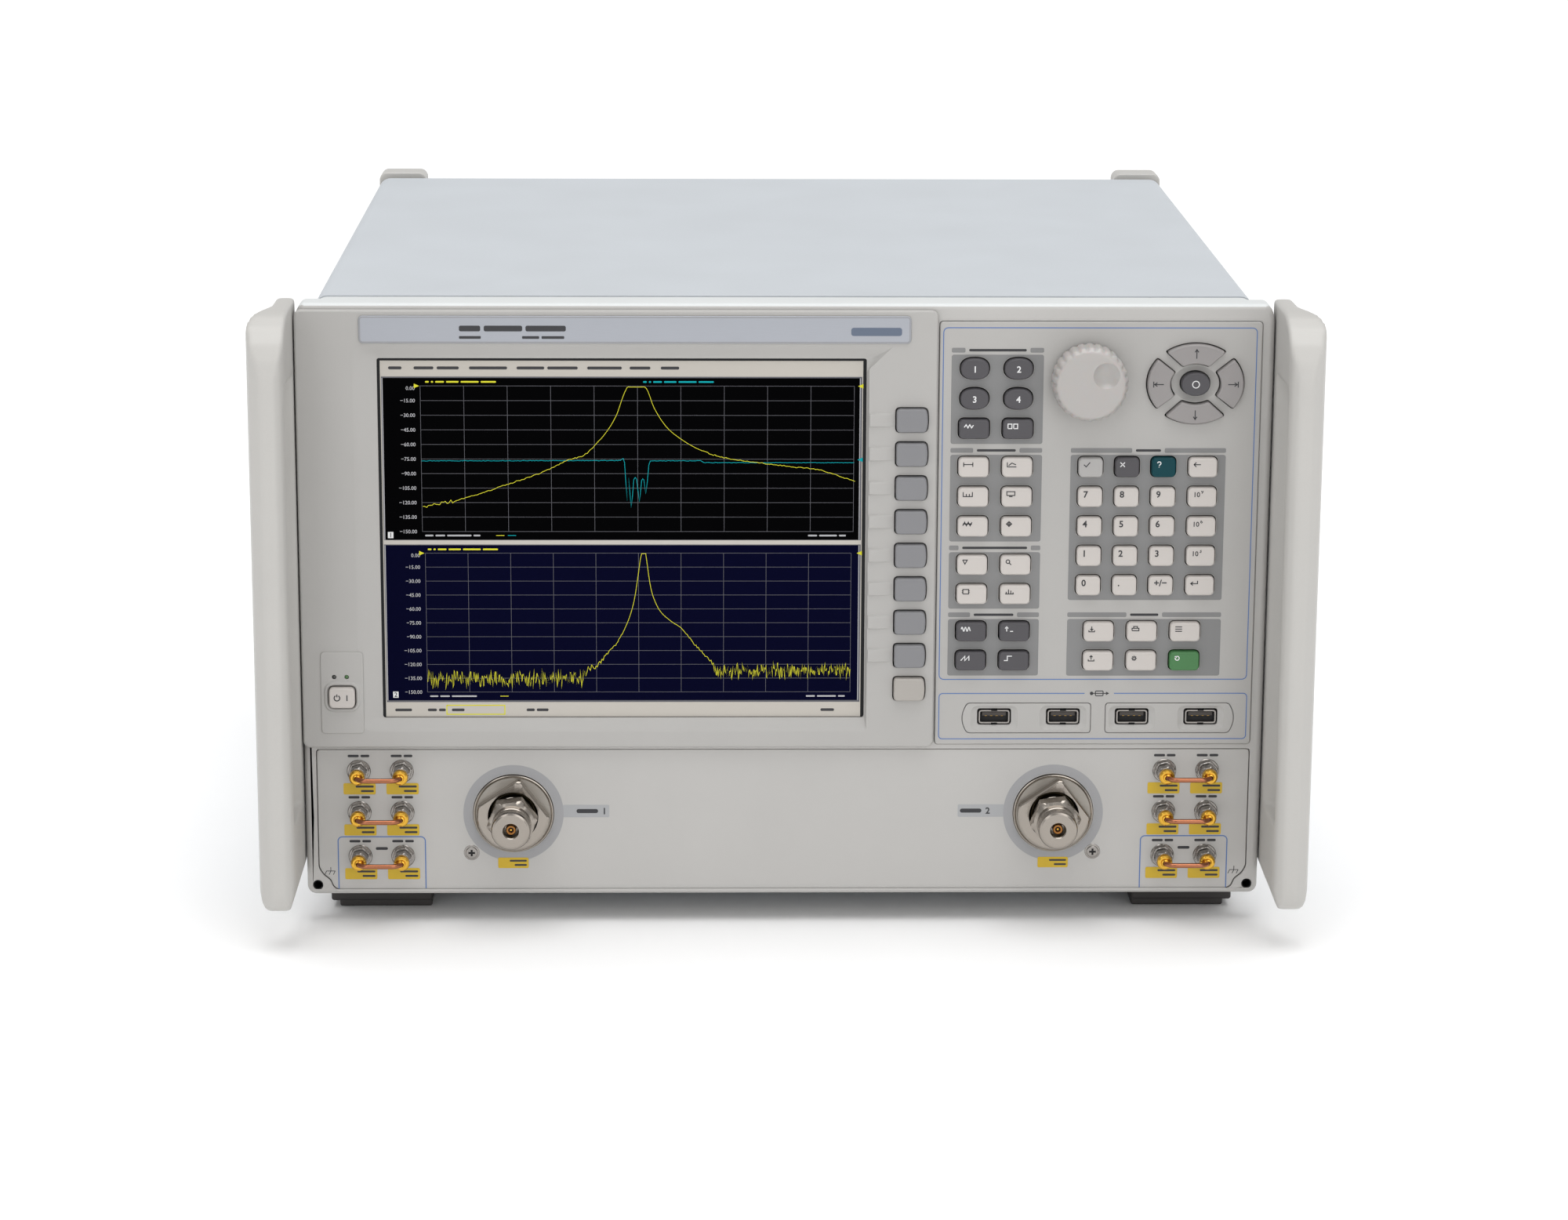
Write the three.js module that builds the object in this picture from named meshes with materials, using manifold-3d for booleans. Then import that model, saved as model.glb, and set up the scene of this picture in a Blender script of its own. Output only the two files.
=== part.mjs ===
// Bench vector network analyzer: a two-port microwave instrument in a metal cabinet, in separate pieces.
// Units are millimetres. X runs to the right, Y to the back, Z up.
// The pieces are laid out in panel coordinates: y = 0 is the front face of the front frame and z = 0 is
// its lower edge. The exported group shifts them so that the origin is the bottom centre of the instrument.

import * as THREE from "three";
import { mergeVertices } from "three/addons/utils/BufferGeometryUtils.js";
import Module from "manifold-3d";

const wasm = await Module();
wasm.setup();

// ---------------------------------------------------------------- driving dimensions

const FIT = 0.3; // air left between two pieces that meet

// Cabinet
const CABINET_W = 425;
const CABINET_H = 267;
const HALF_W = CABINET_W / 2;
const FRAME_RIM_Y = 13; // depth of the full-width rim of the front frame
const FRAME_BACK_Y = 24; // back of the narrower collar that the cover meets
const COVER_HALF_W = 206;
const COVER_TOP_Z = 266.5;
const COVER_BOTTOM_Z = 0.5;
const COVER_BACK_Y = 404;
const SHEET = 1.5; // cover and chassis sheet thickness
const REAR_PANEL_T = 2;
const FOOT_HEIGHT = 13;
const FOOT_STEP = 10.4; // height of a foot's wide upper step
const BUMPER_BACK_Y = 427;
const SIDE_VENTS = { firstY: 300, pitch: 9.5, columns: 8, w: 3.4, rows: [60, 128], h: 58 };

// Front panels
const BEZEL_FRONT_Y = -3; // the display bezel stands proud of the frame
const PANEL_FRONT_Y = -1; // front of the keypad panel
const PANEL_T = 3;
const SPLIT_X = 66; // where the display bezel meets the keypad panel
const SPLIT_Z = 68.3; // where the upper panels meet the test port panel
const UPPER_TOP_Z = 264.5;
const KEYPAD = { x0: SPLIT_X + 0.8, x1: 207, z0: 69.7, z1: 259.4 };
const PORT_PANEL = { halfW: 207, z0: 2.3, z1: 67, frontY: 0.5, t: 2 };
const SCREEN = { x0: -177, x1: 35, z0: 82.2, z1: 243 };

// Keys
const ROW_PITCH = 13.25;
const COLUMN_PITCH = 19.05;
const KEY_PROUD = 3; // height of a key above its panel
const KEY_TRAVEL_ROOM = 1.6; // air behind a key's web
const WEB_FRONT_Y = 5; // front of the moulded web that joins the keys of one pad
const WEB_T = 1.3;
const WEB_MARGIN = 2.4;
const KEY_GAP = 0.45; // air between a key and the edge of its opening
const FUNCTION_KEY = { w: 13.2, h: 8.6, r: 1.9 };
const NUMBER_KEY = { w: 10.6, h: 8.6, r: 1.9 };
const WIDE_KEY = { w: 12.5, h: 8.6, r: 1.9 };
const ROUND_KEY = { w: 12.4, h: 9.2, r: 4.55 };
const SOFT_KEY = { w: 13.9, h: 10.3, r: 2, x: 55.15, topZ: 216.5, pitch: 15.08, count: 9 };
const POWER_KEY = { w: 11.4, h: 9.3, r: 2, x: -194.85, z: 92.3 };
const BOARD_Y = WEB_FRONT_Y + WEB_T + KEY_TRAVEL_ROOM;
const BOARD_T = 1.6;

// Knob and cursor keys
const KNOB = { x: 131.6, z: 234.1, r: 16.4, frontY: -16, backY: -2.4, shaftR: 3 };
const CURSOR = { x: 178.2, z: 232.4, outer: [21, 17.6], inner: [11, 8.9] };
const CLICK_KEY = { w: 12.6, h: 10.4, r: 5.15 };

// Test ports, link cables and sockets
const PORT = {
  x: 120.2,
  z: 37.6,
  cupR: 17.7,
  frontY: -28,
  bossY: -5,
  flats: [
    [124, 12.4],
    [37, 12.4],
  ],
};
const LINK = { nearX: 169.5, rows: [57.15, 38.1, 17.75], tubeR: 1.1 };
const USB = { firstX: 93.1, pitch: 30.55, count: 4, z: 82.2 };
const GROUND = { x: 207.7, z: 4.5, r: 2 };

// Handles: the reach is how far they stand in front of the frame. The scoop is the finger recess inside.
const HANDLE = {
  reach: 47,
  topZ: 267.6,
  bottomZ: 4.9,
  innerX: HALF_W + 0.6,
  outerX: 229.8,
  scoop: { frontY: -40, backY: -4, depth: 6, bottomZ: 44, topZ: 237 },
};

// Fan and mains inlet, seen through the rear panel
const FAN = { x: 128, z: 196, size: 80, frontY: 376, depth: 25 };
const INLET = { x: 150, z: 42, w: 27, h: 20 };
const PORT_BAY = { x0: -178, x1: -60, z0: 23, z1: 60 }; // opening for the processor board's sockets

const MID_Y = (BUMPER_BACK_Y - HANDLE.reach) / 2; // middle of the whole instrument, front to back

// ---------------------------------------------------------------- materials

function finish(color, roughness, metalness) {
  return new THREE.MeshStandardMaterial({ color, roughness, metalness });
}

const FRAME_PAINT = finish(0xd2d1cc, 0.5, 0.1);
const BEZEL_PLASTIC = finish(0xc6c5c1, 0.55, 0);
const COVER_PAINT = finish(0xcfd4d8, 0.6, 0.1);
const HANDLE_PLASTIC = finish(0xd4d3ce, 0.45, 0);
const FOOT_PLASTIC = finish(0x4a4846, 0.7, 0);
const KEY_IVORY = finish(0xdcd8d2, 0.5, 0);
const KEY_GREY = finish(0x6d6d70, 0.5, 0);
const KEY_SILVER = finish(0xa4a5a6, 0.45, 0);
const KNOB_PLASTIC = finish(0xd6d4d0, 0.4, 0);
const SCREEN_GLASS = finish(0x06070c, 0.15, 0);
const PORT_STEEL = finish(0xb6b1aa, 0.25, 1);
const COPPER = finish(0xb4714a, 0.25, 1);
const SOCKET_METAL = finish(0xaaaaaa, 0.3, 1);
const ZINC_STEEL = finish(0xb4b6b4, 0.4, 0.9);
const CIRCUIT_GREEN = finish(0x1f5a36, 0.5, 0);
const BLACK_PLASTIC = finish(0x202022, 0.6, 0);

// ---------------------------------------------------------------- solids

// A closed geometry as a manifold solid that can be joined and cut.
function toSolid(geometry) {
  const bare = geometry.index ? geometry.toNonIndexed() : geometry.clone();
  bare.deleteAttribute("normal");
  bare.deleteAttribute("uv");
  const merged = mergeVertices(bare, 1e-3);
  return new wasm.Manifold(
    new wasm.Mesh({
      numProp: 3,
      vertProperties: merged.attributes.position.array,
      triVerts: new Uint32Array(merged.index.array),
    }),
  );
}

function toGeometry(solid) {
  const mesh = solid.getMesh();
  const geometry = new THREE.BufferGeometry();
  geometry.setAttribute("position", new THREE.BufferAttribute(mesh.vertProperties, 3));
  geometry.setIndex(new THREE.BufferAttribute(mesh.triVerts, 1));
  return geometry;
}

function join(...geometries) {
  return toGeometry(geometries.map(toSolid).reduce((whole, next) => whole.add(next)));
}

function cut(geometry, ...tools) {
  return toGeometry(tools.map(toSolid).reduce((rest, tool) => rest.subtract(tool), toSolid(geometry)));
}

function overlapOf(a, b) {
  return toGeometry(toSolid(a).intersect(toSolid(b)));
}

// ---------------------------------------------------------------- shapes

// Points round a rectangle with rounded corners, in panel x and z.
function roundedOutline(x, z, w, h, r, steps = 2) {
  const corners = [
    [x + w / 2 - r, z + h / 2 - r],
    [x - w / 2 + r, z + h / 2 - r],
    [x - w / 2 + r, z - h / 2 + r],
    [x + w / 2 - r, z - h / 2 + r],
  ];
  return corners.flatMap(([cx, cz], corner) =>
    Array.from({ length: steps + 1 }, (_, i) => {
      const angle = ((corner + i / steps) * Math.PI) / 2;
      return new THREE.Vector2(cx + r * Math.cos(angle), cz + r * Math.sin(angle));
    }),
  );
}

function boxOutline(x0, x1, z0, z1, r = 0.5, steps = 1) {
  return roundedOutline((x0 + x1) / 2, (z0 + z1) / 2, x1 - x0, z1 - z0, r, steps);
}

function ellipseArc(a, b, from, to, steps) {
  return Array.from({ length: steps + 1 }, (_, i) => {
    const angle = from + ((to - from) * i) / steps;
    return new THREE.Vector2(a * Math.cos(angle), b * Math.sin(angle));
  });
}

function circleOutline(x, z, r, sides) {
  const centre = new THREE.Vector2(x, z);
  return ellipseArc(r, r, 0, 2 * Math.PI * (1 - 1 / sides), sides - 1).map((p) => p.add(centre));
}

// A plate parallel to the front panel, from yFront to yBack.
function plate(outline, yFront, yBack, holes = []) {
  const shape = new THREE.Shape(outline);
  shape.holes = holes.map((points) => new THREE.Path(points));
  const geometry = new THREE.ExtrudeGeometry(shape, { depth: yBack - yFront, bevelEnabled: false });
  return geometry.rotateX(Math.PI / 2).translate(0, yBack, 0);
}

// A block given by its lowest and highest corners.
function block(x0, x1, y0, y1, z0, z1) {
  const solid = new THREE.BoxGeometry(x1 - x0, y1 - y0, z1 - z0);
  return solid.translate((x0 + x1) / 2, (y0 + y1) / 2, (z0 + z1) / 2);
}

// A round bar along Y.
function bar(x, z, r, yFront, yBack, sides) {
  return new THREE.CylinderGeometry(r, r, yBack - yFront, sides).translate(x, (yFront + yBack) / 2, z);
}

// A turned piece with its axis along Y. The profile lists [radius, y] from the front to the back.
function turned(profile, sides) {
  const points = profile.map(([r, y]) => new THREE.Vector2(r, y));
  return new THREE.LatheGeometry(points, sides);
}

function piece(name, geometry, material, x = 0, y = 0, z = 0) {
  const mesh = new THREE.Mesh(geometry, material);
  mesh.name = name;
  mesh.position.set(x, y, z);
  return mesh;
}

// ---------------------------------------------------------------- key layout

// Each pad is one elastomer moulding: its keys, each [x, z, key size], joined by a web behind the panel.
function keyGrid(columns, topZ, rows, size) {
  const rowOf = (_, row) => columns.map((x) => [x, topZ - row * ROW_PITCH, size]);
  return Array.from({ length: rows }, rowOf).flat();
}

const FUNCTION_COLUMNS = [82.1, 82.1 + COLUMN_PITCH];
const NUMBER_COLUMNS = [133.3, 149.25, 165.2];
const UNIT_COLUMN = 182.4;
const UTILITY_COLUMNS = [138.4, 138.4 + COLUMN_PITCH, 138.4 + 2 * COLUMN_PITCH];
const TRACE_TOP_Z = 239;
const RESPONSE_TOP_Z = 195.5;
const MARKER_TOP_Z = 151.8;
const STIMULUS_TOP_Z = 121.6;

const KEY_PADS = {
  trace_channel_keys: [
    ...keyGrid(FUNCTION_COLUMNS, TRACE_TOP_Z, 2, ROUND_KEY),
    ...keyGrid(FUNCTION_COLUMNS, TRACE_TOP_Z - 2 * ROW_PITCH, 1, FUNCTION_KEY),
  ],
  response_keys: keyGrid(FUNCTION_COLUMNS, RESPONSE_TOP_Z, 3, FUNCTION_KEY),
  marker_keys: keyGrid(FUNCTION_COLUMNS, MARKER_TOP_Z, 2, FUNCTION_KEY),
  stimulus_keys: keyGrid(FUNCTION_COLUMNS, STIMULUS_TOP_Z, 2, FUNCTION_KEY),
  entry_keys: [
    ...keyGrid(NUMBER_COLUMNS, RESPONSE_TOP_Z, 5, NUMBER_KEY),
    ...keyGrid([UNIT_COLUMN], RESPONSE_TOP_Z, 5, WIDE_KEY),
  ],
  utility_keys: keyGrid(UTILITY_COLUMNS, STIMULUS_TOP_Z, 2, FUNCTION_KEY),
};

function keyOutline([x, z, size], grow = 0) {
  return roundedOutline(x, z, size.w + 2 * grow, size.h + 2 * grow, size.r + grow, size.r > 4 ? 3 : 1);
}

// The web of a pad: the rectangle round its keys.
function webOutline(keys) {
  const left = Math.min(...keys.map(([x, , size]) => x - size.w / 2));
  const right = Math.max(...keys.map(([x, , size]) => x + size.w / 2));
  const low = Math.min(...keys.map(([, z, size]) => z - size.h / 2));
  const high = Math.max(...keys.map(([, z, size]) => z + size.h / 2));
  return boxOutline(left - WEB_MARGIN, right + WEB_MARGIN, low - WEB_MARGIN, high + WEB_MARGIN);
}

function keyPads() {
  return Object.entries(KEY_PADS).map(([name, keys]) => {
    const web = plate(webOutline(keys), WEB_FRONT_Y, WEB_FRONT_Y + WEB_T);
    const faceY = PANEL_FRONT_Y - KEY_PROUD;
    const caps = keys.map((key) => plate(keyOutline(key), faceY, WEB_FRONT_Y + WEB_T / 2));
    const material = name === "stimulus_keys" || name === "trace_channel_keys" ? KEY_GREY : KEY_IVORY;
    return piece(name, join(web, ...caps), material);
  });
}

// A single key with a flange that keeps it behind its panel. It is drawn round its own middle.
function singleKey(outlineOf, panelFrontY) {
  const cap = plate(outlineOf(0), panelFrontY - KEY_PROUD, WEB_FRONT_Y + WEB_T / 2);
  const flange = plate(outlineOf(1), WEB_FRONT_Y, WEB_FRONT_Y + WEB_T);
  return join(cap, flange);
}

function softKeys() {
  return Array.from({ length: SOFT_KEY.count }, (_, i) => {
    const geometry = singleKey((grow) => keyOutline([0, 0, SOFT_KEY], grow), BEZEL_FRONT_Y);
    const material = i < SOFT_KEY.count - 1 ? KEY_SILVER : KEY_IVORY;
    return piece(`soft_key_${i + 1}`, geometry, material, SOFT_KEY.x, 0, SOFT_KEY.topZ - i * SOFT_KEY.pitch);
  });
}

function powerButton() {
  const geometry = singleKey((grow) => keyOutline([0, 0, POWER_KEY], grow), BEZEL_FRONT_Y);
  return piece("power_button", geometry, KEY_IVORY, POWER_KEY.x, 0, POWER_KEY.z);
}

// ---------------------------------------------------------------- cursor keys and knob

// A cursor key is a sector of an oval ring, drawn round the middle of the ring.
const CURSOR_SPANS = {
  cursor_up: { middle: 90, outerHalf: 37.5, innerHalf: 31 },
  cursor_left: { middle: 180, outerHalf: 38, innerHalf: 35 },
  cursor_down: { middle: 270, outerHalf: 37.5, innerHalf: 31 },
  cursor_right: { middle: 0, outerHalf: 38, innerHalf: 35 },
};

function cursorOutline({ middle, outerHalf, innerHalf }, grow) {
  const radians = (degrees) => (degrees * Math.PI) / 180;
  const [oa, ob] = CURSOR.outer;
  const [ia, ib] = CURSOR.inner;
  const spread = grow * 3; // degrees that a millimetre of growth adds at each end
  const outer = ellipseArc(
    oa + grow,
    ob + grow,
    radians(middle - outerHalf - spread),
    radians(middle + outerHalf + spread),
    6,
  );
  const inner = ellipseArc(
    ia - grow,
    ib - grow,
    radians(middle + innerHalf + spread),
    radians(middle - innerHalf - spread),
    4,
  );
  return [...outer, ...inner];
}

function cursorKeys() {
  const ring = Object.entries(CURSOR_SPANS).map(([name, span]) => {
    const cap = plate(cursorOutline(span, 0), PANEL_FRONT_Y - KEY_PROUD, WEB_FRONT_Y + WEB_T / 2);
    const flange = plate(cursorOutline(span, 0.6), WEB_FRONT_Y, WEB_FRONT_Y + WEB_T);
    return piece(name, join(cap, flange), KEY_SILVER, CURSOR.x, 0, CURSOR.z);
  });
  const click = singleKey((grow) => keyOutline([0, 0, CLICK_KEY], grow), PANEL_FRONT_Y);
  return [...ring, piece("cursor_click", click, KEY_GREY, CURSOR.x, 0, CURSOR.z)];
}

function knob() {
  const { r, frontY, backY, shaftR } = KNOB;
  const shaftBackY = BOARD_Y + BOARD_T + 7;
  const profile = [
    [0, frontY],
    [r - 1.5, frontY],
    [r, frontY + 2],
    [r, backY],
    [shaftR, backY],
    [shaftR, shaftBackY],
    [0, shaftBackY],
  ];
  return piece("knob", turned(profile, 24), KNOB_PLASTIC, KNOB.x, 0, KNOB.z);
}

// The rotary encoder behind the knob: a bushing through the panel and a square body behind the key board.
function knobEncoder() {
  const boreR = KNOB.shaftR + 0.35;
  const bushing = bar(0, 0, boreR + 1.6, PANEL_FRONT_Y - 1, BOARD_Y + BOARD_T + 1, 16);
  const body = block(-7, 7, BOARD_Y + BOARD_T + FIT, BOARD_Y + BOARD_T + 9, -7, 7);
  const bore = bar(0, 0, boreR, -10, BOARD_Y + BOARD_T + 7.8, 16);
  return piece("knob_encoder", cut(join(bushing, body), bore), ZINC_STEEL, KNOB.x, 0, KNOB.z);
}

// ---------------------------------------------------------------- front panels

// The cast front frame: a rim round the panels, a rebate behind them and a narrower collar for the cover.
function frontFrame() {
  const outline = roundedOutline(0, CABINET_H / 2, CABINET_W, CABINET_H, 7, 3);
  const upperOpening = boxOutline(-205, KEYPAD.x1 + FIT, KEYPAD.z0 - FIT, KEYPAD.z1 + FIT);
  const lowerOpening = portPanelOutline(FIT);
  const grounds = [-1, 1].map((side) => circleOutline(side * GROUND.x, GROUND.z, GROUND.r, 12));
  const rim = plate(outline, 0, FRAME_RIM_Y, [boxOutline(-203, 203, 7.5, 259)]);
  const collar = plate(
    roundedOutline(0, CABINET_H / 2, 2 * COVER_HALF_W, CABINET_H - 2, 6, 2),
    FRAME_RIM_Y - 1,
    FRAME_BACK_Y,
    [boxOutline(-201, 201, 9, 257)],
  );
  const rail = block(-204, 204, 3.2, FRAME_RIM_Y, SPLIT_Z - 2.4, SPLIT_Z + 1);
  const rebates = [
    plate(upperOpening, -1, 3.2),
    plate(lowerOpening, -1, 3.2),
    ...grounds.map((circle) => plate(circle, -1, 11)),
  ];
  return piece("front_frame", cut(join(rim, collar, rail, midRail()), ...rebates), FRAME_PAINT);
}

// The bar between the upper and lower panels, flush with the front of the frame.
function midRail() {
  return block(-208, 208, 0, FRAME_RIM_Y, PORT_PANEL.z1 - 1, KEYPAD.z0 + 1);
}

// The display bezel: openings for the screen, the soft keys, the power button and its two lamps.
function displayBezel() {
  const outline = boxOutline(-HALF_W, SPLIT_X, SPLIT_Z + 0.5, UPPER_TOP_Z, 4, 3);
  const holes = [
    boxOutline(SCREEN.x0, SCREEN.x1, SCREEN.z0, SCREEN.z1, 1),
    keyOutline([POWER_KEY.x, POWER_KEY.z, POWER_KEY], KEY_GAP),
    ...[-3.35, 2.15].map((dx) => circleOutline(POWER_KEY.x + dx, POWER_KEY.z + 9, 0.9, 8)),
    ...Array.from({ length: SOFT_KEY.count }, (_, i) =>
      keyOutline([SOFT_KEY.x, SOFT_KEY.topZ - i * SOFT_KEY.pitch, SOFT_KEY], KEY_GAP),
    ),
  ];
  return piece("display_bezel", plate(outline, BEZEL_FRONT_Y, -FIT, holes), BEZEL_PLASTIC);
}

function keypadPanel() {
  const outline = boxOutline(KEYPAD.x0, KEYPAD.x1, KEYPAD.z0, KEYPAD.z1, 1.5, 2);
  const shifted = (points) => points.map((p) => new THREE.Vector2(p.x + CURSOR.x, p.y + CURSOR.z));
  const holes = [
    ...Object.values(KEY_PADS).flatMap((keys) => keys.map((key) => keyOutline(key, KEY_GAP))),
    ...Object.values(CURSOR_SPANS).map((span) => shifted(cursorOutline(span, KEY_GAP))),
    keyOutline([CURSOR.x, CURSOR.z, CLICK_KEY], KEY_GAP),
    circleOutline(KNOB.x, KNOB.z, 5.6, 12),
    ...usbCentres().map((x) => boxOutline(x - 7.9, x + 7.9, USB.z - 4, USB.z + 4, 1)),
  ];
  return piece("keypad_panel", plate(outline, PANEL_FRONT_Y, PANEL_FRONT_Y + PANEL_T, holes), BEZEL_PLASTIC);
}

function nameplate() {
  const outline = boxOutline(-184.5, 54.2, 250.2, 262.2, 1.6, 2);
  return piece("nameplate", plate(outline, BEZEL_FRONT_Y - FIT - 0.6, BEZEL_FRONT_Y - FIT), BEZEL_PLASTIC);
}

// The touch screen glass with the liquid crystal module behind it.
function displayModule() {
  const glass = plate(boxOutline(SCREEN.x0 - 1.5, SCREEN.x1 + 1.5, SCREEN.z0 - 1.5, SCREEN.z1 + 1.5), 0.4, 4);
  const module = block(SCREEN.x0 - 6, SCREEN.x1 + 5, 3.6, 15, SCREEN.z0 - 6, SCREEN.z1 + 5);
  return piece("display_module", join(glass, module), SCREEN_GLASS);
}

// The board that the keys press on. It also carries the knob's encoder.
function keyBoard() {
  const outline = boxOutline(46, 202.5, 89, 256);
  const hole = circleOutline(KNOB.x, KNOB.z, 5.4, 12);
  return piece("key_board", plate(outline, BOARD_Y, BOARD_Y + BOARD_T, [hole]), CIRCUIT_GREEN);
}

// ---------------------------------------------------------------- test port panel

// The panel's lower corners step in round the ground sockets.
function portPanelOutline(grow = 0) {
  const { halfW, z0, z1 } = PORT_PANEL;
  const side = halfW + grow;
  const low = z0 - grow;
  const notch = 6.2 - grow;
  const right = [
    [side - notch - 2.5, low],
    [side - notch, low + 2],
    [side - notch + 1.4, low + notch - 1],
    [side - 1.8, low + notch + 1.4],
    [side, low + notch + 4],
    [side, z1 + grow - 1],
    [side - 1, z1 + grow],
  ];
  const left = right.map(([x, z]) => [-x, z]).reverse();
  return [...right, ...left].map(([x, z]) => new THREE.Vector2(x, z));
}

function linkCentres() {
  return [-1, 1].flatMap((side) => {
    const xs = [side * LINK.nearX, side * (LINK.nearX + COLUMN_PITCH)];
    return LINK.rows.map((z, row) => ({ side, row, z, xs }));
  });
}

// The panel with its twelve bulkhead connectors, each a hexagon nut and a threaded nose.
function testPortPanel() {
  const { frontY, t } = PORT_PANEL;
  const ports = [-1, 1].map((side) => circleOutline(side * PORT.x, PORT.z, PORT.cupR + FIT, 24));
  const sheet = plate(portPanelOutline(), frontY, frontY + t, ports);
  const bulkheads = linkCentres().flatMap(({ z, xs }) =>
    xs.flatMap((x) => [bar(x, z, 4.5, frontY - 2.6, frontY + t + 8, 6), bar(x, z, 3, frontY - 5, frontY, 8)]),
  );
  return piece("test_port_panel", join(sheet, ...bulkheads), FRAME_PAINT);
}

// A circle cut by straight flats, each [direction in degrees, distance from the middle].
function flattedOutline(r, flats, sides) {
  return circleOutline(0, 0, r, sides).map((p) => {
    const angle = Math.atan2(p.y, p.x);
    const reach = flats.reduce((least, [direction, distance]) => {
      const lean = Math.cos(angle - (direction * Math.PI) / 180);
      return lean > 0 ? Math.min(least, distance / lean) : least;
    }, r);
    return p.setLength(reach);
  });
}

// A test port: a mounting cup, a boss with two wrench flats and the barrel that carries the contact.
function portBody(name, x) {
  const cup = turned(
    [
      [0, 3],
      [PORT.cupR - 1.2, 3],
      [PORT.cupR - 1.2, -0.5],
      [PORT.cupR, -0.5],
      [PORT.cupR, 8],
      [11, 8],
      [11, 30],
      [0, 30],
    ],
    24,
  );
  const boss = plate(flattedOutline(15.9, PORT.flats, 48), PORT.bossY, 3.5);
  const barrel = turned(
    [
      [0, -26.5],
      [2.4, -26.5],
      [2.4, -22.5],
      [5.6, -22.5],
      [5.6, -8],
      [9.8, -8],
      [9.8, 0],
      [0, 0],
    ],
    16,
  );
  return piece(name, join(cup, boss, barrel), PORT_STEEL, x, 0, PORT.z);
}

// The coupling nut turns freely on the barrel.
function portNut(name, x) {
  const nose = turned(
    [
      [3.2, PORT.frontY],
      [8.7, PORT.frontY],
      [8.7, -16],
      [6.1, -16],
      [6.1, -23],
      [3.2, -23],
      [3.2, PORT.frontY],
    ],
    16,
  );
  const hexagon = cut(bar(0, 0, 11.4, -17.5, -8.8, 6), bar(0, 0, 6.1, -18, -8, 16));
  return piece(name, join(nose, hexagon), PORT_STEEL, x, 0, PORT.z);
}

// A link cable: two coupling nuts joined by a bent rigid coaxial tube.
function linkCable(name, { z, xs }) {
  const frontY = -15.5;
  const nutFrontY = -11.5;
  const bend = 4.5;
  const [a, b] = [Math.min(...xs), Math.max(...xs)];
  const nuts = xs.map((x) =>
    cut(bar(x, z, 3.9, nutFrontY, -2.6, 8), bar(x, z, 3.3, -5.2, -2, 8)),
  );
  const route = new THREE.CurvePath();
  const start = new THREE.Vector3(a, nutFrontY + 2, z);
  const leftTop = new THREE.Vector3(a, frontY + bend, z);
  const leftEnd = new THREE.Vector3(a + bend, frontY, z);
  const rightEnd = new THREE.Vector3(b - bend, frontY, z);
  const rightTop = new THREE.Vector3(b, frontY + bend, z);
  const end = new THREE.Vector3(b, nutFrontY + 2, z);
  route.add(new THREE.LineCurve3(start, leftTop));
  route.add(new THREE.QuadraticBezierCurve3(leftTop, new THREE.Vector3(a, frontY, z), leftEnd));
  route.add(new THREE.LineCurve3(leftEnd, rightEnd));
  route.add(new THREE.QuadraticBezierCurve3(rightEnd, new THREE.Vector3(b, frontY, z), rightTop));
  route.add(new THREE.LineCurve3(rightTop, end));
  const section = new THREE.Shape(circleOutline(0, 0, LINK.tubeR, 8));
  const tube = new THREE.ExtrudeGeometry(section, { extrudePath: route, steps: 14 });
  return piece(name, join(tube, ...nuts), COPPER);
}

function usbCentres() {
  return Array.from({ length: USB.count }, (_, i) => USB.firstX + i * USB.pitch);
}

// Four sockets on one small board.
function usbSockets() {
  const { z } = USB;
  const backY = 17;
  const board = block(usbCentres()[0] - 10, usbCentres()[3] + 10, backY - 0.5, backY + 1.2, z - 7, z + 2);
  const shells = usbCentres().map((x) => {
    const opening = block(x - 6.4, x + 6.4, -2, 12, z - 2.6, z + 2.6);
    return cut(block(x - 7, x + 7, -0.6, backY, z - 3.2, z + 3.2), opening);
  });
  const tongues = usbCentres().map((x) => block(x - 5.6, x + 5.6, 2, 13, z + 0.2, z + 2));
  return piece("usb_sockets", join(board, ...shells, ...tongues), SOCKET_METAL);
}

// ---------------------------------------------------------------- cabinet

// The sleeve: one bent sheet round the chassis, open at the front and the back, with vents in its sides.
function outerCover() {
  const midZ = (COVER_TOP_Z + COVER_BOTTOM_Z) / 2;
  const height = COVER_TOP_Z - COVER_BOTTOM_Z;
  const outline = roundedOutline(0, midZ, 2 * COVER_HALF_W, height, 6, 3);
  const inside = roundedOutline(0, midZ, 2 * (COVER_HALF_W - SHEET), height - 2 * SHEET, 4.5, 3);
  const sleeve = plate(outline, FRAME_BACK_Y + FIT, COVER_BACK_Y, [inside]);
  return piece("outer_cover", cut(sleeve, ...sideVents()), COVER_PAINT);
}

// The vents in the cover's sides. Each block reaches through both sides.
function sideVents() {
  const { firstY, pitch, columns, w, rows, h } = SIDE_VENTS;
  const reach = COVER_HALF_W + 5;
  return rows.flatMap((z) =>
    Array.from({ length: columns }, (_, i) => {
      const y = firstY + i * pitch;
      return block(-reach, reach, y, y + w, z, z + h);
    }),
  );
}

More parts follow.
